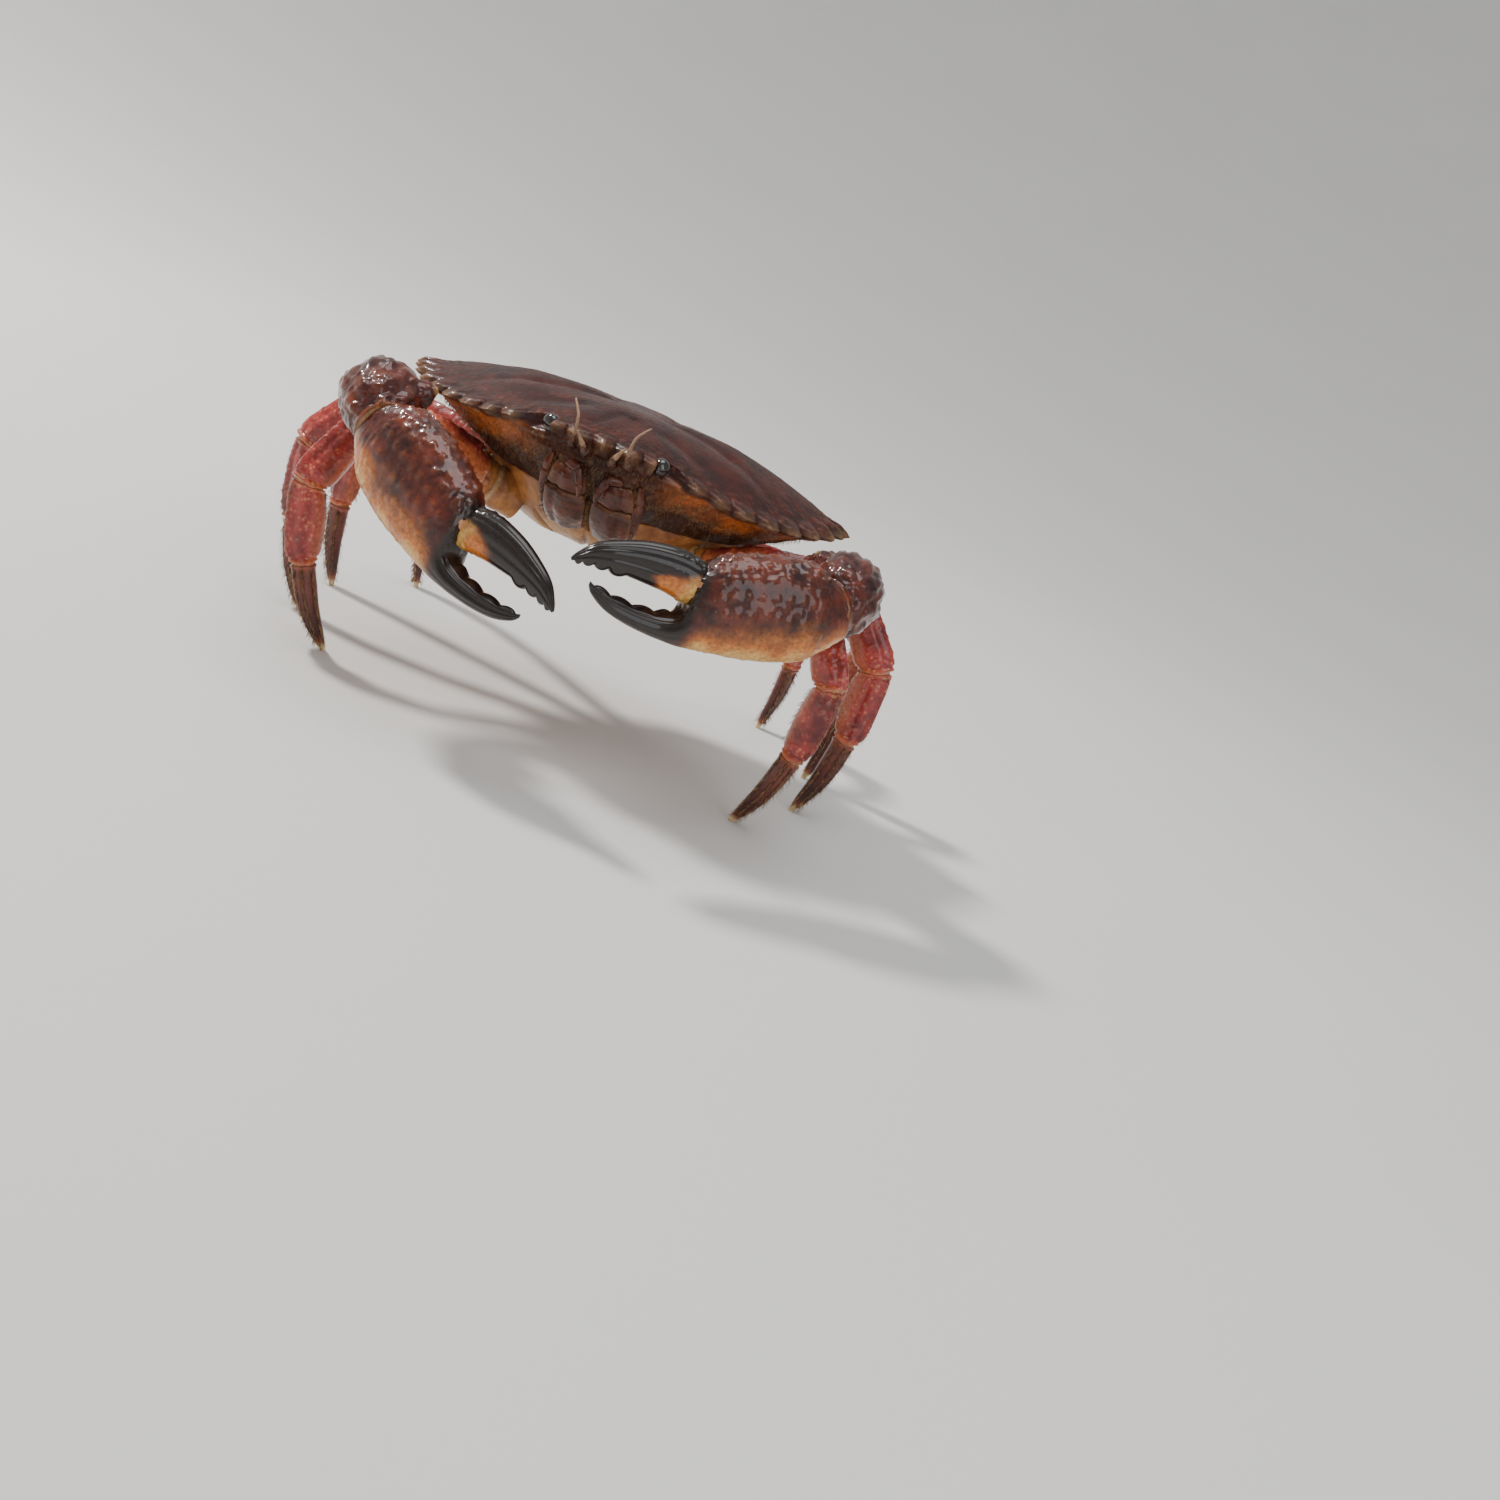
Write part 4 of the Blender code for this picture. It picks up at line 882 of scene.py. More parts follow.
def leg_root(side, number):
    joints, steps, dorsal = leg_frame(side, number)
    size = np.array(LEG_GIRTHS["merus"][0]) * WALKING_LEGS[number]["size"]
    return stub(joints[0], steps[0], dorsal[0], [size * 1.1, size * 1.1, size], "leg_root")


def arm_root(side):
    limb, _, _, _, arm, _, _ = claw_frame(side)
    size = np.array(CLAW_GIRTHS["merus"][0])
    return stub(limb["root"], arm, UP, [size * 1.2, size * 1.1, size], "arm_root")


def build_tail():
    """The tail flap, in six folds, narrowing forward under the breast."""
    skin = tube(TAIL_PATH, DOWN, TAIL_GIRTH, "tail")
    height = 0.12 * skin.grains(1.3, 35) + 0.12 * skin.cloud(4.0, 37) + 0.5 * skin.line(90.0, 14.0)
    for fold in TAIL_FOLDS:
        height += bells(skin.share, ((-0.7, fold, 0.009), (0.25, fold - 0.03, 0.015)))
        skin.stain("dark", 0.4 * skin.band(fold, 0.01))
    skin.push(height)
    skin.stain("pale", 0.3 * ease(0.3, 0.8, skin.share))
    add_skins("tail_flap", [skin], "underside", "abdomen")


# Limbs

def tube(path, upper, girth, grid, start=None, end=None):
    """A skin round a smooth path. Its ends lie square to the path, or to the two given directions."""
    path = np.asarray(path, float)
    if start is None:
        start = unit(path[1] - path[0])
        end = unit(path[-1] - path[-2])
    rows, columns = GRIDS[grid]
    shares = np.linspace(0.0, 1.0, rows)
    tangents = at_shares(path, np.minimum(shares + 0.01, 1.0))
    tangents -= at_shares(path, np.maximum(shares - 0.01, 0.0))
    sections = zip(shares, at_shares(path, shares), at_shares(girth, shares), tangents)
    angles = around(columns)
    rings = []
    for share, centre, size, tangent in sections:
        tangent = unit(tangent)
        above = unit(np.asarray(upper) - np.dot(upper, tangent) * tangent)
        heights = np.where(np.sin(angles) > 0, size[0], size[1]) * np.sin(angles)
        across = (size[2] * np.cos(angles))[:, None] * np.cross(tangent, above)
        ring = centre + heights[:, None] * above + across
        normal = start if share < 0.5 else end
        slant = ((centre - ring) @ normal) / np.dot(tangent, normal)
        rings.append(ring + tangent * (slant * abs(2.0 * share - 1.0) ** 2)[:, None])
    return Skin(rings)


def between(first, second):
    """The normal of the plane that halves the bend between two directions."""
    return unit(unit(first) + unit(second))


def leg_frame(side, number):
    """The joints of a walking leg, then the direction and the dorsal direction of each segment."""
    leg = WALKING_LEGS[number]
    sign = SIDES[side]
    azimuth, *slopes = (math.radians(angle) for angle in leg[side])
    lean = math.radians(leg["lean"])
    outward = np.array([sign * math.cos(azimuth), -math.sin(azimuth), 0.0])
    forward = np.array([-sign * math.sin(azimuth), -math.cos(azimuth), 0.0])
    upward = np.array([0.0, 0.0, math.cos(lean)]) + forward * math.sin(lean)
    lengths = [length * leg["size"] for length in LEG_LENGTHS.values()]
    drop = sum(length * math.sin(slope) for length, slope in zip(lengths[1:], slopes))
    rise = (-WIDEST_ABOVE_FLOOR - LEG_ROOT_Z) / upward[2] - drop
    angles = [math.asin(rise / lengths[0])] + slopes
    joints = [np.array([sign * leg["root"][0], leg["root"][1], LEG_ROOT_Z])]
    steps = [outward * math.cos(angle) + upward * math.sin(angle) for angle in angles]
    dorsal = [upward * math.cos(angle) - outward * math.sin(angle) for angle in angles]
    for length, step in zip(lengths, steps):
        joints.append(joints[-1] + step * length)
    return joints, steps, dorsal


def jointed(skin, lobe, step, paling=1.0):
    """Shapes the two ends of a limb segment: a narrow neck, a raised rim and a lobe on either side."""
    lobes = np.abs(skin.beside) ** 4 * ease(0.9, 1.0, skin.share)
    skin.points += step * (lobe * lobes)[..., None]
    skin.push(bells(skin.share, JOINT_RELIEF))
    skin.stain("pale", paling * (0.8 * ease(0.975, 0.995, skin.share) + 0.6 * ease(0.03, 0.0, skin.share)))
    skin.stain("warm", paling * bells(skin.share, ((0.6, 0.965, 0.03), (0.4, 0.06, 0.03))))


def leg_texture(segment, skin, seed):
    """Ridges, grooves and grains of a leg segment, and where its colours lie."""
    body = skin.middle(0.0, 0.12, 0.86, 1.0)
    ridge = skin.line(90.0, 15.0)
    height = 0.45 * ridge + 0.3 * skin.line(-90.0, 18.0)
    if segment != "merus":
        height += 0.25 * skin.lines((24.0, 156.0), 9.0) - 0.42 * skin.lines((48.0, 132.0), 11.0)
    if segment == "propodus":
        height -= 0.3 * skin.lines((0.0, 180.0), 10.0)
    height *= body
    upper = ease(-0.3, 0.7, skin.rise)
    coarse = skin.grains(1.7, seed, 0.75)
    height += coarse * (0.09 + 0.14 * ridge + 0.08 * upper) + 0.16 * skin.cloud(6.0, seed + 9)
    height += 0.05 * skin.grains(0.8, seed + 7, 0.9)
    skin.push(height - 0.25)
    skin.stain("warm", 0.5 * ease(0.1, -0.8, skin.rise) + 0.35 * coarse * ridge)
    skin.stain("pale", 0.25 * coarse * ease(0.0, 0.6, skin.cloud(5.0, seed + 19)))
    skin.stain("dark", 0.35 * ease(-0.05, 0.5, skin.cloud(11.0, seed + 29)) * upper)


def membrane(joint, before, after, upper, size, reach=2.6):
    """The soft pleated sleeve in a joint, with a round condyle on either side."""
    path = [joint - before * reach, joint, joint + after * reach]
    skin = tube(path, upper, [size * 0.86, size * 0.97, size * 0.86], "sleeve", before, after)
    skin.push(0.18 * np.sin(skin.share * 10.0 * math.pi) * ease(0.0, 0.2, skin.share))
    skin.stain("pale", 0.5 * np.abs(skin.beside))
    across = unit(np.cross(between(before, after), upper))
    return [skin] + [ball(joint + way * (size[2] - 0.5), way, size[2] * 0.27) for way in (-across, across)]


def ball(centre, axis, radius):
    """A round knob."""
    shares = np.linspace(-0.98, 0.98, 12)
    girth = [(radius * math.sqrt(1.0 - share**2),) * 3 for share in shares]
    path = [centre + axis * radius * share for share in shares]
    skin = tube(path, np.cross(axis, (0.31, 0.2, 0.93)), girth, "ball", axis, axis)
    return skin.stain("pale", 0.35)


def build_walking_leg(side, number):
    """Four segments of one leg, each with its skin, the sleeve in its joint and, low down, bristles."""
    joints, steps, dorsal = leg_frame(side, number)
    planes = [steps[0]] + [between(a, b) for a, b in zip(steps[:-1], steps[1:])]
    for i, segment in enumerate(LEG_LENGTHS):
        name = f"leg{number}_{segment}_{side}"
        seed = 100 * number + 10 * i + (0 if side == "left" else 1000)
        girth = np.array(LEG_GIRTHS[segment]) * WALKING_LEGS[number]["size"] * 0.97
        path = [joints[i] + steps[i] * 0.5, joints[i + 1]]
        if segment == "dactyl":
            path.insert(1, (path[0] + path[1]) / 2 + dorsal[i] * DACTYL_BOW)
            skin = tip_skin(path, dorsal[i], girth, planes[i], seed)
        else:
            skin = tube(path, dorsal[i], girth, "leg", planes[i], planes[i + 1])
            leg_texture(segment, skin, seed)
            jointed(skin, 1.0, steps[i])
        kind = "leg_tip" if segment == "dactyl" else "leg"
        add_skins(name + "_shell", [skin], kind, name)
        sleeve = membrane(joints[i], steps[max(i - 1, 0)], steps[i], dorsal[i], girth[0] * 0.98)
        add_skins(name + "_sleeve", sleeve, "membrane", name)
        if segment in BRISTLE_ROWS:
            add_bristles(name + "_bristles", leg_tufts(skin, segment, seed), name)


def tip_skin(path, upper, girth, start, seed):
    """The last segment of a leg: fluted, bowed and ending in a small worn flat on the floor."""
    skin = tube(path, upper, girth, "leg_tip", start, DOWN)
    share = skin.share
    flutes = skin.lines(FLUTES, 9.0)
    height = (0.06 * skin.cloud(3.0, seed) - 0.34 * flutes) * skin.middle(0.02, 0.12, 0.7, 0.92)
    skin.push(height + bells(share, ((0.4, 0.05, 0.03), (-0.5, 0.0, 0.02))))
    skin.stain("pale", ease(0.84, 0.93, share) + 0.5 * ease(0.04, 0.0, share))
    skin.stain("warm", bells(share, ((0.5, 0.06, 0.05), (0.6, 0.84, 0.06))))
    skin.stain("warm", 0.25 * np.clip(1.0 - flutes, 0.0, 1.0) * ease(0.7, 0.2, share))
    return skin.stain("dark", 0.5 * skin.middle(0.35, 0.7, 0.78, 0.86))


def leg_tufts(skin, segment, seed):
    """Rows of bristles: along the flutes of a tip, or along the edges of the segment above."""
    random = np.random.default_rng(seed)
    rows, columns, _ = skin.points.shape
    count = BRISTLES[segment][0]
    tufts = []
    for turn in BRISTLE_ROWS[segment]:
        share = 0.05 + 0.83 * random.random(count)
        row = (share * (rows - 1)).astype(int)
        column = near_turn(random, turn, 5.0, count, columns)
        tufts.append(tuft(skin, row, column, segment, seed + int(turn) % 360))
    return tufts


def claw_frame(side):
    """Joints and directions of a claw limb: the hand's three, the upper arm's, two planes of its joints."""
    limb = {name: np.array(value) for name, value in CLAW_LIMBS[side].items()}
    along = unit(limb["along"])
    upper = unit(limb["upper"] - np.dot(limb["upper"], along) * along)
    outward = np.cross(along, upper) * -SIDES[side]
    arm = unit(limb["elbow"] - limb["root"])
    bend = between(arm, limb["knob"] - limb["elbow"])
    wrist = between(limb["wrist"] - limb["knob"], along)
    return limb, along, upper, outward, arm, bend, wrist


def profile_skin(profile, grid, place, along, upper, outward):
    """A skin through a side profile, whose rounded sections span its upper and lower edges."""
    rows, columns = GRIDS[grid]
    waves = (np.sin(around(columns)), np.cos(around(columns)))
    tall, wide = (np.sign(wave) * np.abs(wave) ** CLAW_SQUARENESS for wave in waves)
    sections = through(profile, np.linspace(0, len(profile) - 1, rows))
    rings = []
    for top_x, top_y, low_x, low_y, outer, inner in sections:
        top = place + along * top_x + upper * top_y
        low = place + along * low_x + upper * low_y
        deep = wide * np.where(wide > 0, outer, inner)
        rings.append((top + low) / 2 + tall[:, None] * (top - low) / 2 + deep[:, None] * outward)
    return Skin(rings)


def finger_frame(side):
    """Hinge and directions of the movable finger, opened from the hand."""
    limb, along, upper, _, _, _, _ = claw_frame(side)
    angle = math.radians(FINGER_OPEN[side])
    place = limb["wrist"] + along * FINGER_HINGE[0] + upper * FINGER_HINGE[1]
    turned = along * math.cos(angle) + upper * math.sin(angle)
    return place, turned, upper * math.cos(angle) - along * math.sin(angle)


def bead_rows(skin):
    """Rows of beads along a hand: 1 on top of a bead."""
    height = np.zeros_like(skin.share)
    for number, turn in enumerate(BEADS["turns"]):
        wobble = skin.cloud(6.0, 60 + number)
        beads = 0.5 + 0.5 * np.sin(skin.share / BEADS["pitch"] * CIRCLE + 2.3 * number + 3.0 * wobble)
        height = np.maximum(height, skin.line(turn + 5.0 * wobble, 3.6) * beads)
    start, end = BEADS["start"], BEADS["end"]
    return height * skin.middle(start, start + 0.05, end - 0.06, end)


def cutting_teeth(skin, turn, first, last):
    """Blunt teeth along a cutting edge, highest in the middle of the run."""
    run = np.clip((skin.share - first) / (last - first), 0.0, 1.0)
    inside = (skin.share > first) & (skin.share < last)
    waves = np.abs(np.sin(math.pi * CUTTING_TEETH * run)) ** 0.7 * (1.1 - 0.35 * run)
    return np.where(inside, waves, 0.0) * skin.line(turn, 26.0)


def claw_seed(first, side):
    """The seed of a claw piece: the first one on the left, a hundred more on the right."""
    return first if side == "left" else first + 100


def build_hand(side):
    """The hand with its fixed finger: rows of beads outside, blunt teeth and a dark, ridged finger."""
    limb, along, upper, outward, _, _, wrist = claw_frame(side)
    skin = profile_skin(HAND, "hand", limb["wrist"], along, upper, outward)
    for number, ring in enumerate(skin.points[:CUFF_ROWS]):
        slant = ((ring.mean(axis=0) - ring) @ wrist) / np.dot(along, wrist)
        ring += along * (slant * (1.0 - number / CUFF_ROWS))[:, None]
    seed = claw_seed(500, side)
    outer = ease(-0.35, 0.35, skin.beside)
    reach = (skin.points - limb["wrist"]) @ along
    palm = ease(44.0, 37.0, reach)
    beads = bead_rows(skin)
    coarse = skin.grains(2.3, seed, 0.7)
    upper_edge = ease(0.35, 0.85, skin.rise)
    height = 0.38 * beads + coarse * (0.16 + 0.44 * upper_edge) + 0.12 * skin.grains(1.1, seed + 20, 0.9)
    height = (height + 0.22 * skin.cloud(8.0, seed + 40)) * palm
    height -= 0.2 * skin.lines(FIXED_GROOVES, 8.0) * (1.0 - palm) * ease(1.0, 0.9, skin.share)
    skin.push(height + 1.1 * cutting_teeth(skin, 90.0, 0.66, 0.93))
    ragged = 0.22 * skin.cloud(5.0, seed + 60)
    lower = ease(-0.1, -0.75, skin.rise + ragged)
    within = ease(0.55, -0.15, skin.rise + 1.4 * ragged) * (1.0 - outer)
    skin.stain("warm", palm * np.clip(lower * outer + 0.85 * within, 0.0, 1.0))
    skin.stain("warm", 0.12 * palm * np.maximum(beads, coarse * upper_edge))
    skin.stain("pale", palm * (0.8 * ease(-0.6, -0.98, skin.rise + ragged) + 0.25 * beads * lower))
    skin.stain("pale", 0.35 * palm * within)
    skin.stain("dark", ease(37.5, 43.0, reach + 5.0 * skin.rise + 6.0 * ragged))
    name = f"claw_hand_{side}"
    add_skins(name + "_shell", [skin], "claw", name)
    place, turned, above = finger_frame(side)
    hinge = [ball(place + outward * 4.2, outward, 2.6)]
    hinge += membrane(place + turned * 0.5, turned, turned, above, HINGE_GIRTH, 3.0)
    add_skins(name + "_hinge", hinge, "membrane", name)


def build_finger(side):
    """The movable finger: dark, ridged lengthwise, with blunt teeth, and orange at its root."""
    _, _, _, outward, _, _, _ = claw_frame(side)
    place, turned, above = finger_frame(side)
    skin = profile_skin(FINGER, "finger", place, turned, above, outward)
    seed = claw_seed(700, side)
    reach = (skin.points - place) @ turned
    height = 0.05 * skin.cloud(4.0, seed)
    height -= 0.24 * skin.lines(FINGER_GROOVES, 8.0) * skin.middle(0.0, 0.12, 0.86, 1.0)
    height += ease(12.0, 3.0, reach) * 0.4 * skin.grains(1.9, seed + 3)
    skin.push(height + 1.1 * cutting_teeth(skin, -90.0, 0.5, 0.92))
    reach += 1.8 * skin.cloud(4.0, seed + 9)
    low = ease(0.5, -0.5, skin.rise)
    border = 13.0 * low
    skin.stain("warm", low * ease(border + 2.0, border - 3.0, reach))
    skin.stain("pale", 0.85 * low * ease(7.0, 2.0, reach))
    skin.stain("dark", ease(border - 2.5, border + 2.5, reach))
    name = f"claw_finger_{side}"
    add_skins(name + "_shell", [skin], "claw", name)


def build_upper_arm(side):
    """The upper arm of a claw limb, dark above and orange below."""
    limb, _, _, _, arm, bend, _ = claw_frame(side)
    seed = claw_seed(300, side)
    girth = CLAW_GIRTHS["merus"]
    skin = tube([limb["root"] + arm * 0.4, limb["elbow"]], UP, girth, "merus", arm, bend)
    knobs = skin.grains(4.0, seed + 5, 0.7) * ease(0.3, 0.8, skin.rise)
    skin.push(skin.grains(2.2, seed, 0.75) * 0.2 + 0.5 * knobs + 0.2 * skin.cloud(7.0, seed + 9))
    jointed(skin, 1.0, arm)
    skin.stain("warm", 0.95 * ease(1.0, 0.6, skin.rise + 0.15 * skin.cloud(5.0, seed + 13)))
    skin.stain("pale", 0.3 * ease(-0.2, -0.9, skin.rise - 0.6 * skin.beside * SIDES[side]))
    name = f"claw_merus_{side}"
    add_skins(name + "_shell", [skin], "leg", name)
    sleeve = membrane(limb["root"], arm, arm, UP, np.array(girth[0]) * 0.98)
    add_skins(name + "_sleeve", sleeve, "membrane", name)


def wrist_spine(side, block):
    """The stout spine at the inner corner of a wrist block."""
    ring = block.points[int(WRIST_SPINE["share"] * (len(block.points) - 1))]
    centre = ring.mean(axis=0)
    way = mirrored(unit(WRIST_SPINE["way"]), side)
    foot = centre + way * np.max((ring - centre) @ way)
    path = [foot - way * WRIST_SPINE["sunk"], foot + way * WRIST_SPINE["height"]]
    girth = [(WRIST_SPINE["radius"] * share,) * 3 for share in (1.05, 1.0, 0.85, 0.55, 0.15)]
    spine = tube(path, np.cross(way, (0.3, 0.2, 1.0)), girth, "spine", way, way)
    spine.push(0.4 * spine.cloud(2.4, 77) + 0.16 * spine.grains(1.6, 79))
    return spine.stain("pale", 0.5 * ease(0.8, 1.0, spine.share))


def build_wrist_block(side):
    """The knobby, folded wrist block, with the sleeves of the joints at its two ends."""
    limb, along, _, _, arm, bend, wrist = claw_frame(side)
    seed = claw_seed(300, side)
    girth = np.array(CLAW_GIRTHS["carpus"]) * (1.0, 1.0, limb["breadth"])
    skin = tube([limb["elbow"], limb["knob"], limb["wrist"]], UP, girth, "carpus", bend, wrist)
    spine = wrist_spine(side, skin)
    turned = skin.rise - 0.55 * skin.beside * SIDES[side]
    lower = skin.rise - 0.5 * skin.beside * SIDES[side]
    upper_side = ease(-0.35, 0.35, turned)
    knobs = skin.grains(4.6, seed + 21, 0.5)
    coarse = skin.grains(2.1, seed + 25, 0.5)
    drawn = skin.points * (1.0, 0.35, 1.0)
    wrinkles = cloud(drawn, 2.4, seed + 29) + 0.5 * cloud(drawn, 1.1, seed + 30)
    height = skin.middle(0.0, 0.1, 0.9, 1.0) * upper_side * (0.45 * knobs + 0.12 * coarse + 0.75 * wrinkles)
    height += 0.16 * coarse * (1.0 - upper_side) + 0.3 * skin.cloud(8.0, seed + 33)
    skin.push(height - 0.35)
    jointed(skin, 0.8, wrist, 0.25)
    ragged = 0.3 * skin.cloud(6.0, seed + 37)
    skin.stain("warm", 0.9 * ease(-0.2, -0.8, lower + ragged) + 0.08 * knobs * upper_side)
    skin.stain("pale", 0.4 * ease(-0.5, -1.1, lower))
    name = f"claw_carpus_{side}"
    add_skins(name + "_shell", [skin, spine], "claw", name)
    sleeves = membrane(limb["elbow"], arm, bend, UP, np.array(CLAW_GIRTHS["carpus"][0]) * 0.96, 3.4)
    sleeves += membrane(limb["wrist"], wrist, along, UP, WRIST_GIRTH, 3.4)
    add_skins(name + "_sleeve", sleeves, "membrane", name)


# The face

def face_skin(name, side, grid, first=0.0, last=1.0, share=1.0):
    """A skin along a piece of the face, or along part of it."""
    path, upper, girth = FACE_PIECES[name]
    places = np.linspace(first, last, 9)
    path = at_shares(mirrored(path, side), places)
    return tube(path, mirrored(upper, side), at_shares(girth, places) * share, grid)


def build_eye(side):
    """An eye: a jointed brown stalk and a black cornea over its end."""
    name = f"eye_{side}"
    stalk = face_skin("eye", side, "stalk", 0.0, 0.62)
    stalk.push(0.12 * stalk.cloud(1.5, 3) - 0.25 * stalk.band(0.45, 0.06))
    stalk.stain("dark", 0.4 * ease(0.6, 1.0, stalk.share))
    add_skins(name + "_stalk", [stalk], "mouthpart", name)
    cornea = face_skin("eye", side, "cornea", 0.5, 1.0, 0.97)
    girth = np.sqrt(np.clip(1.0 - (cornea.share - 0.28) ** 2 / 0.55, 0.05, 1.0))
    centre = cornea.points.mean(axis=1, keepdims=True)
    cornea.points = centre + unit(cornea.points - centre) * (EYE_RADIUS * girth)[..., None]
    add_skins(name + "_cornea", [cornea], "cornea", name)


def build_feelers(side):
    """The antenna and the antennule: stout first joints, then a thin ringed whip."""
    for name, (rings, root) in FEELERS.items():
        skin = face_skin(name, side, name)
        whip = ease(root, root + 0.06, skin.share)
        waves = np.sin(skin.share * rings * CIRCLE)
        height = 0.07 * waves * whip * ease(1.0, 0.6, skin.share)
        height -= 0.3 * sum(skin.band(joint, 0.012) for joint in (root * 0.35, root * 0.72, root))
        skin.push(height + 0.1 * skin.cloud(1.2, 21) * (1.0 - whip))
        skin.stain("pale", 0.6 * whip * (0.5 + 0.5 * waves))
        skin.stain("dark", (1.0 - whip) * (0.6 + 0.4 * ease(-0.2, 0.4, skin.cloud(2.0, 23))))
        add_skins(f"{name}_{side}_whip", [skin], "feeler", f"{name}_{side}")


def mouth_plate(side, first, last, share):
    """One plate of an outer mouthpart, grooved along its inner edge."""
    skin = face_skin("maxilliped", side, "plate", first, last, share)
    ends = 0.7 * skin.band(0.0, 0.05) + 0.7 * skin.band(1.0, 0.05)
    height = 0.1 * skin.grains(1.0, 41) - ends + 0.14 * skin.cloud(3.0, 43) + 0.3 * skin.line(90.0, 20.0)
    skin.push(height - 0.5 * skin.line(62.0 if side == "left" else 118.0, 10.0))
    skin.stain("pale", 0.5 * ends + 0.35 * np.abs(skin.beside) ** 8)
    return skin.stain("dark", 0.35 * ease(0.0, 0.6, skin.cloud(4.0, 47)))


def mouth_branch(side, path, girth, joints):
    """The outer branch or the palp of a mouthpart, with a notch at each joint."""
    skin = tube(mirrored(path, side), (0.0, -1.0, 0.3), girth, "branch")
    skin.push(0.1 * skin.cloud(1.6, 53) - 0.4 * sum(skin.band(joint, 0.02) for joint in joints))
    return skin.stain("dark", 0.3 * skin.line(-90.0, 60.0))


def build_mouth(side):
    """One outer mouthpart: three plates in a row, an outer branch, a jointed palp and a fringe."""
    name = f"maxilliped_{side}"
    plates = [mouth_plate(side, *plate) for plate in MOUTH_PLATES]
    branches = [mouth_branch(side, *branch) for branch in MOUTH_EXTRAS]
    add_skins(name + "_plates", plates + branches, "mouthpart", name)
    random = np.random.default_rng(7 if side == "left" else 8)
    rows, columns = GRIDS["plate"]
    count = BRISTLES["mouth"][0]
    tufts = []
    for skin in plates:
        for turn in (0.0, 180.0):
            row = (random.random(count) * (rows - 1)).astype(int)
            column = near_turn(random, turn, 7.0, count, columns)
            tufts.append(tuft(skin, row, column, "mouth", int(turn) + 3))
    add_bristles(name + "_fringe", tufts, name)


def build_shell_fringe(shell):
    """Short bristles along the lower flank of the shell and over the face."""
    random = np.random.default_rng(19)
    rows, columns, _ = shell.points.shape
    count = BRISTLES["shell"][0]
    row = TOP_ROWS + (FLANK_ROWS - 4) * np.clip(0.55 + 0.2 * random.normal(0.0, 1.0, count), 0.2, 1.0)
    row = np.minimum(row.astype(int), rows - 2)
    column = (random.random(count) * columns).astype(int)
    front = shell.points[row, column, 1] < FRINGE_END_Y
    add_bristles("shell_fringe", [tuft(shell, row[front], column[front], "shell", 29)], "carapace")


# Room, light and camera

def build_room():
    """A pale round floor that sweeps up into a wall all round."""
    outline = [(ROOM_MIDDLE, 0.0), (ROOM_FLOOR, 0.0)]
    for turn in np.linspace(0.0, math.pi / 2, 32)[1:]:
        outline.append((ROOM_FLOOR + ROOM_SWEEP * math.sin(turn), ROOM_SWEEP * (1.0 - math.cos(turn))))
    outline.append((ROOM_FLOOR + ROOM_SWEEP, ROOM_HEIGHT))
    vertices = [(r * math.cos(t), r * math.sin(t), z) for r, z in outline for t in around(ROOM_COLUMNS)]
    middle = len(vertices)
    vertices.append((0.0, 0.0, 0.0))
    faces = [(middle, i, (i + 1) % ROOM_COLUMNS) for i in range(ROOM_COLUMNS)]
    for row in range(len(outline) - 1):
        low = row * ROOM_COLUMNS
        high = low + ROOM_COLUMNS
        for i in range(ROOM_COLUMNS):
            j = (i + 1) % ROOM_COLUMNS
            faces.append((low + i, high + i, high + j, low + j))
    mesh = bpy.data.meshes.new("studio_floor")
    mesh.from_pydata(vertices, [], faces)
    mesh.shade_smooth()
    material, shader = new_material("studio_paper")
    noise = texture(material, "Noise", Scale=30.0, Detail=3.0)
    colour = mixed(material, noise, (0.66, 0.65, 0.63), (0.70, 0.69, 0.67))
    fill(material, shader, Base_Color=colour, Roughness=0.85)
    mesh.materials.append(material)
    in_scene("studio_floor", mesh)


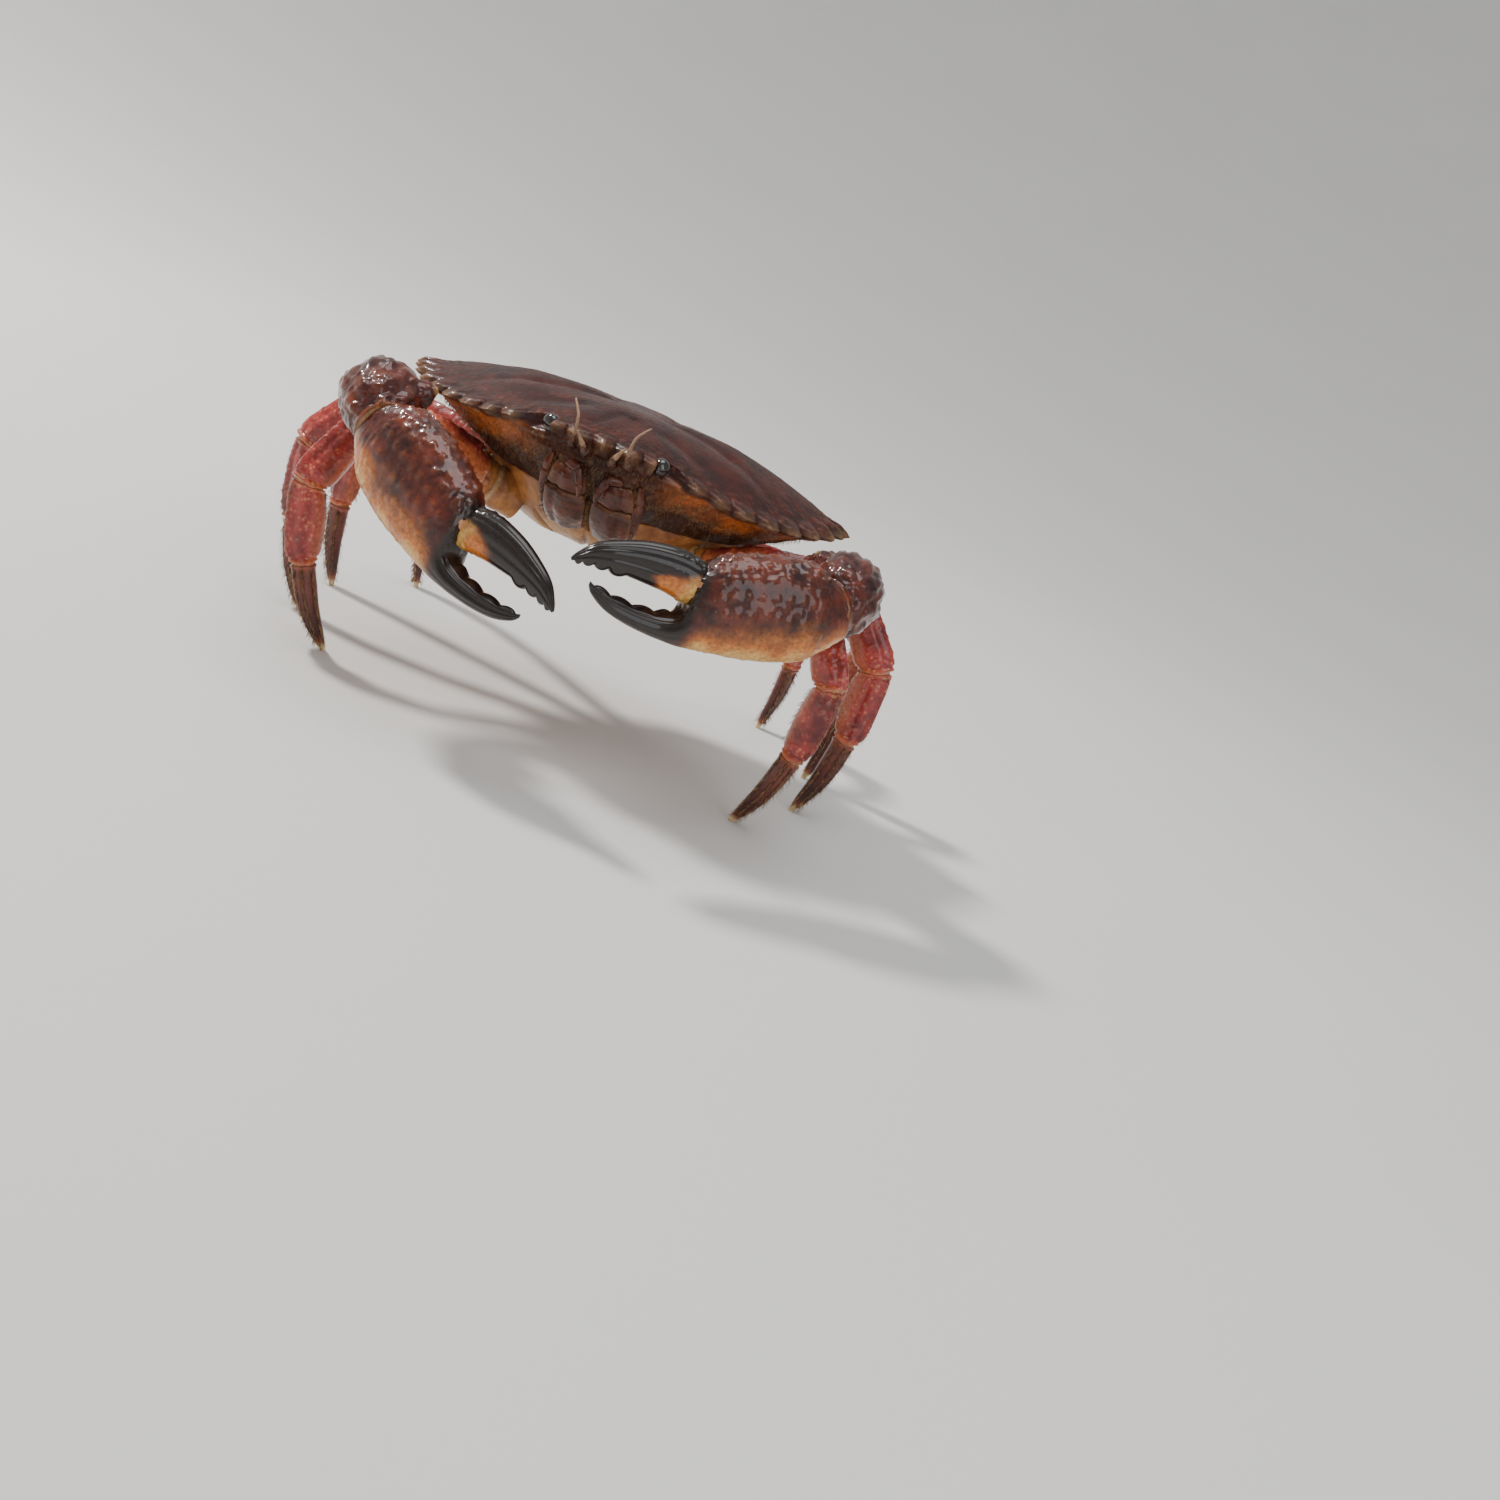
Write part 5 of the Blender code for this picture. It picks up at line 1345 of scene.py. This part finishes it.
def looking(place, ahead, upper):
    """The matrix of a camera or a lamp at a place, in metres, that looks ahead."""
    ahead = unit(ahead)
    across = unit(np.cross(ahead, upper))
    matrix = np.eye(4)
    matrix[:3] = np.stack([across, np.cross(across, ahead), -ahead, place], axis=1)
    return Matrix(matrix.tolist())


def build_lights():
    """Soft lamps that face the crab, area lamps or a round one, and pale air."""
    for name, (kind, place, size, power, colour) in LAMPS.items():
        light = bpy.data.lights.new(name, kind)
        if kind == "AREA":
            light.size = size
        else:
            light.shadow_soft_size = size
        light.energy = power
        light.color = colour
        lamp = in_scene(name, light)
        lamp.matrix_world = looking(place, LIT_POINT - place, UP)
    world = bpy.data.worlds.new("studio_air")
    world.use_nodes = True
    air = world.node_tree.nodes["Background"]
    air.inputs["Color"].default_value = AIR_COLOUR
    air.inputs["Strength"].default_value = AIR_STRENGTH
    bpy.context.scene.world = world


def build_camera():
    camera = bpy.data.cameras.new("camera")
    camera.lens = CAMERA_LENS
    camera.sensor_width = CAMERA_SENSOR
    camera.clip_start = CAMERA_NEAR
    holder = in_scene("camera", camera)
    holder.matrix_world = looking(np.array(CAMERA_PLACE) * MM + ORIGIN, CAMERA_AHEAD, CAMERA_UP)
    bpy.context.scene.camera = holder


shell_low, shell_high = (np.array(corner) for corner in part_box("carapace"))
ORIGIN = np.array([
    (shell_low[0] + shell_high[0]) / 2,
    shell_high[1] - REAR_REACH * MM,
    WIDEST_ABOVE_FLOOR * MM,
])
MATERIALS = {name: wet_shell(name, finish) for name, finish in FINISHES.items()}
MATERIALS["cornea"] = glossy_eye()
MATERIALS["bristles"] = bristle_finish()

build_shell_fringe(build_shell())
build_breastplate()
build_tail()
for crab_side in SIDES:
    build_upper_arm(crab_side)
    build_wrist_block(crab_side)
    build_hand(crab_side)
    build_finger(crab_side)
    build_eye(crab_side)
    build_feelers(crab_side)
    build_mouth(crab_side)
    for leg_number in WALKING_LEGS:
        build_walking_leg(crab_side, leg_number)
build_room()
build_lights()
build_camera()
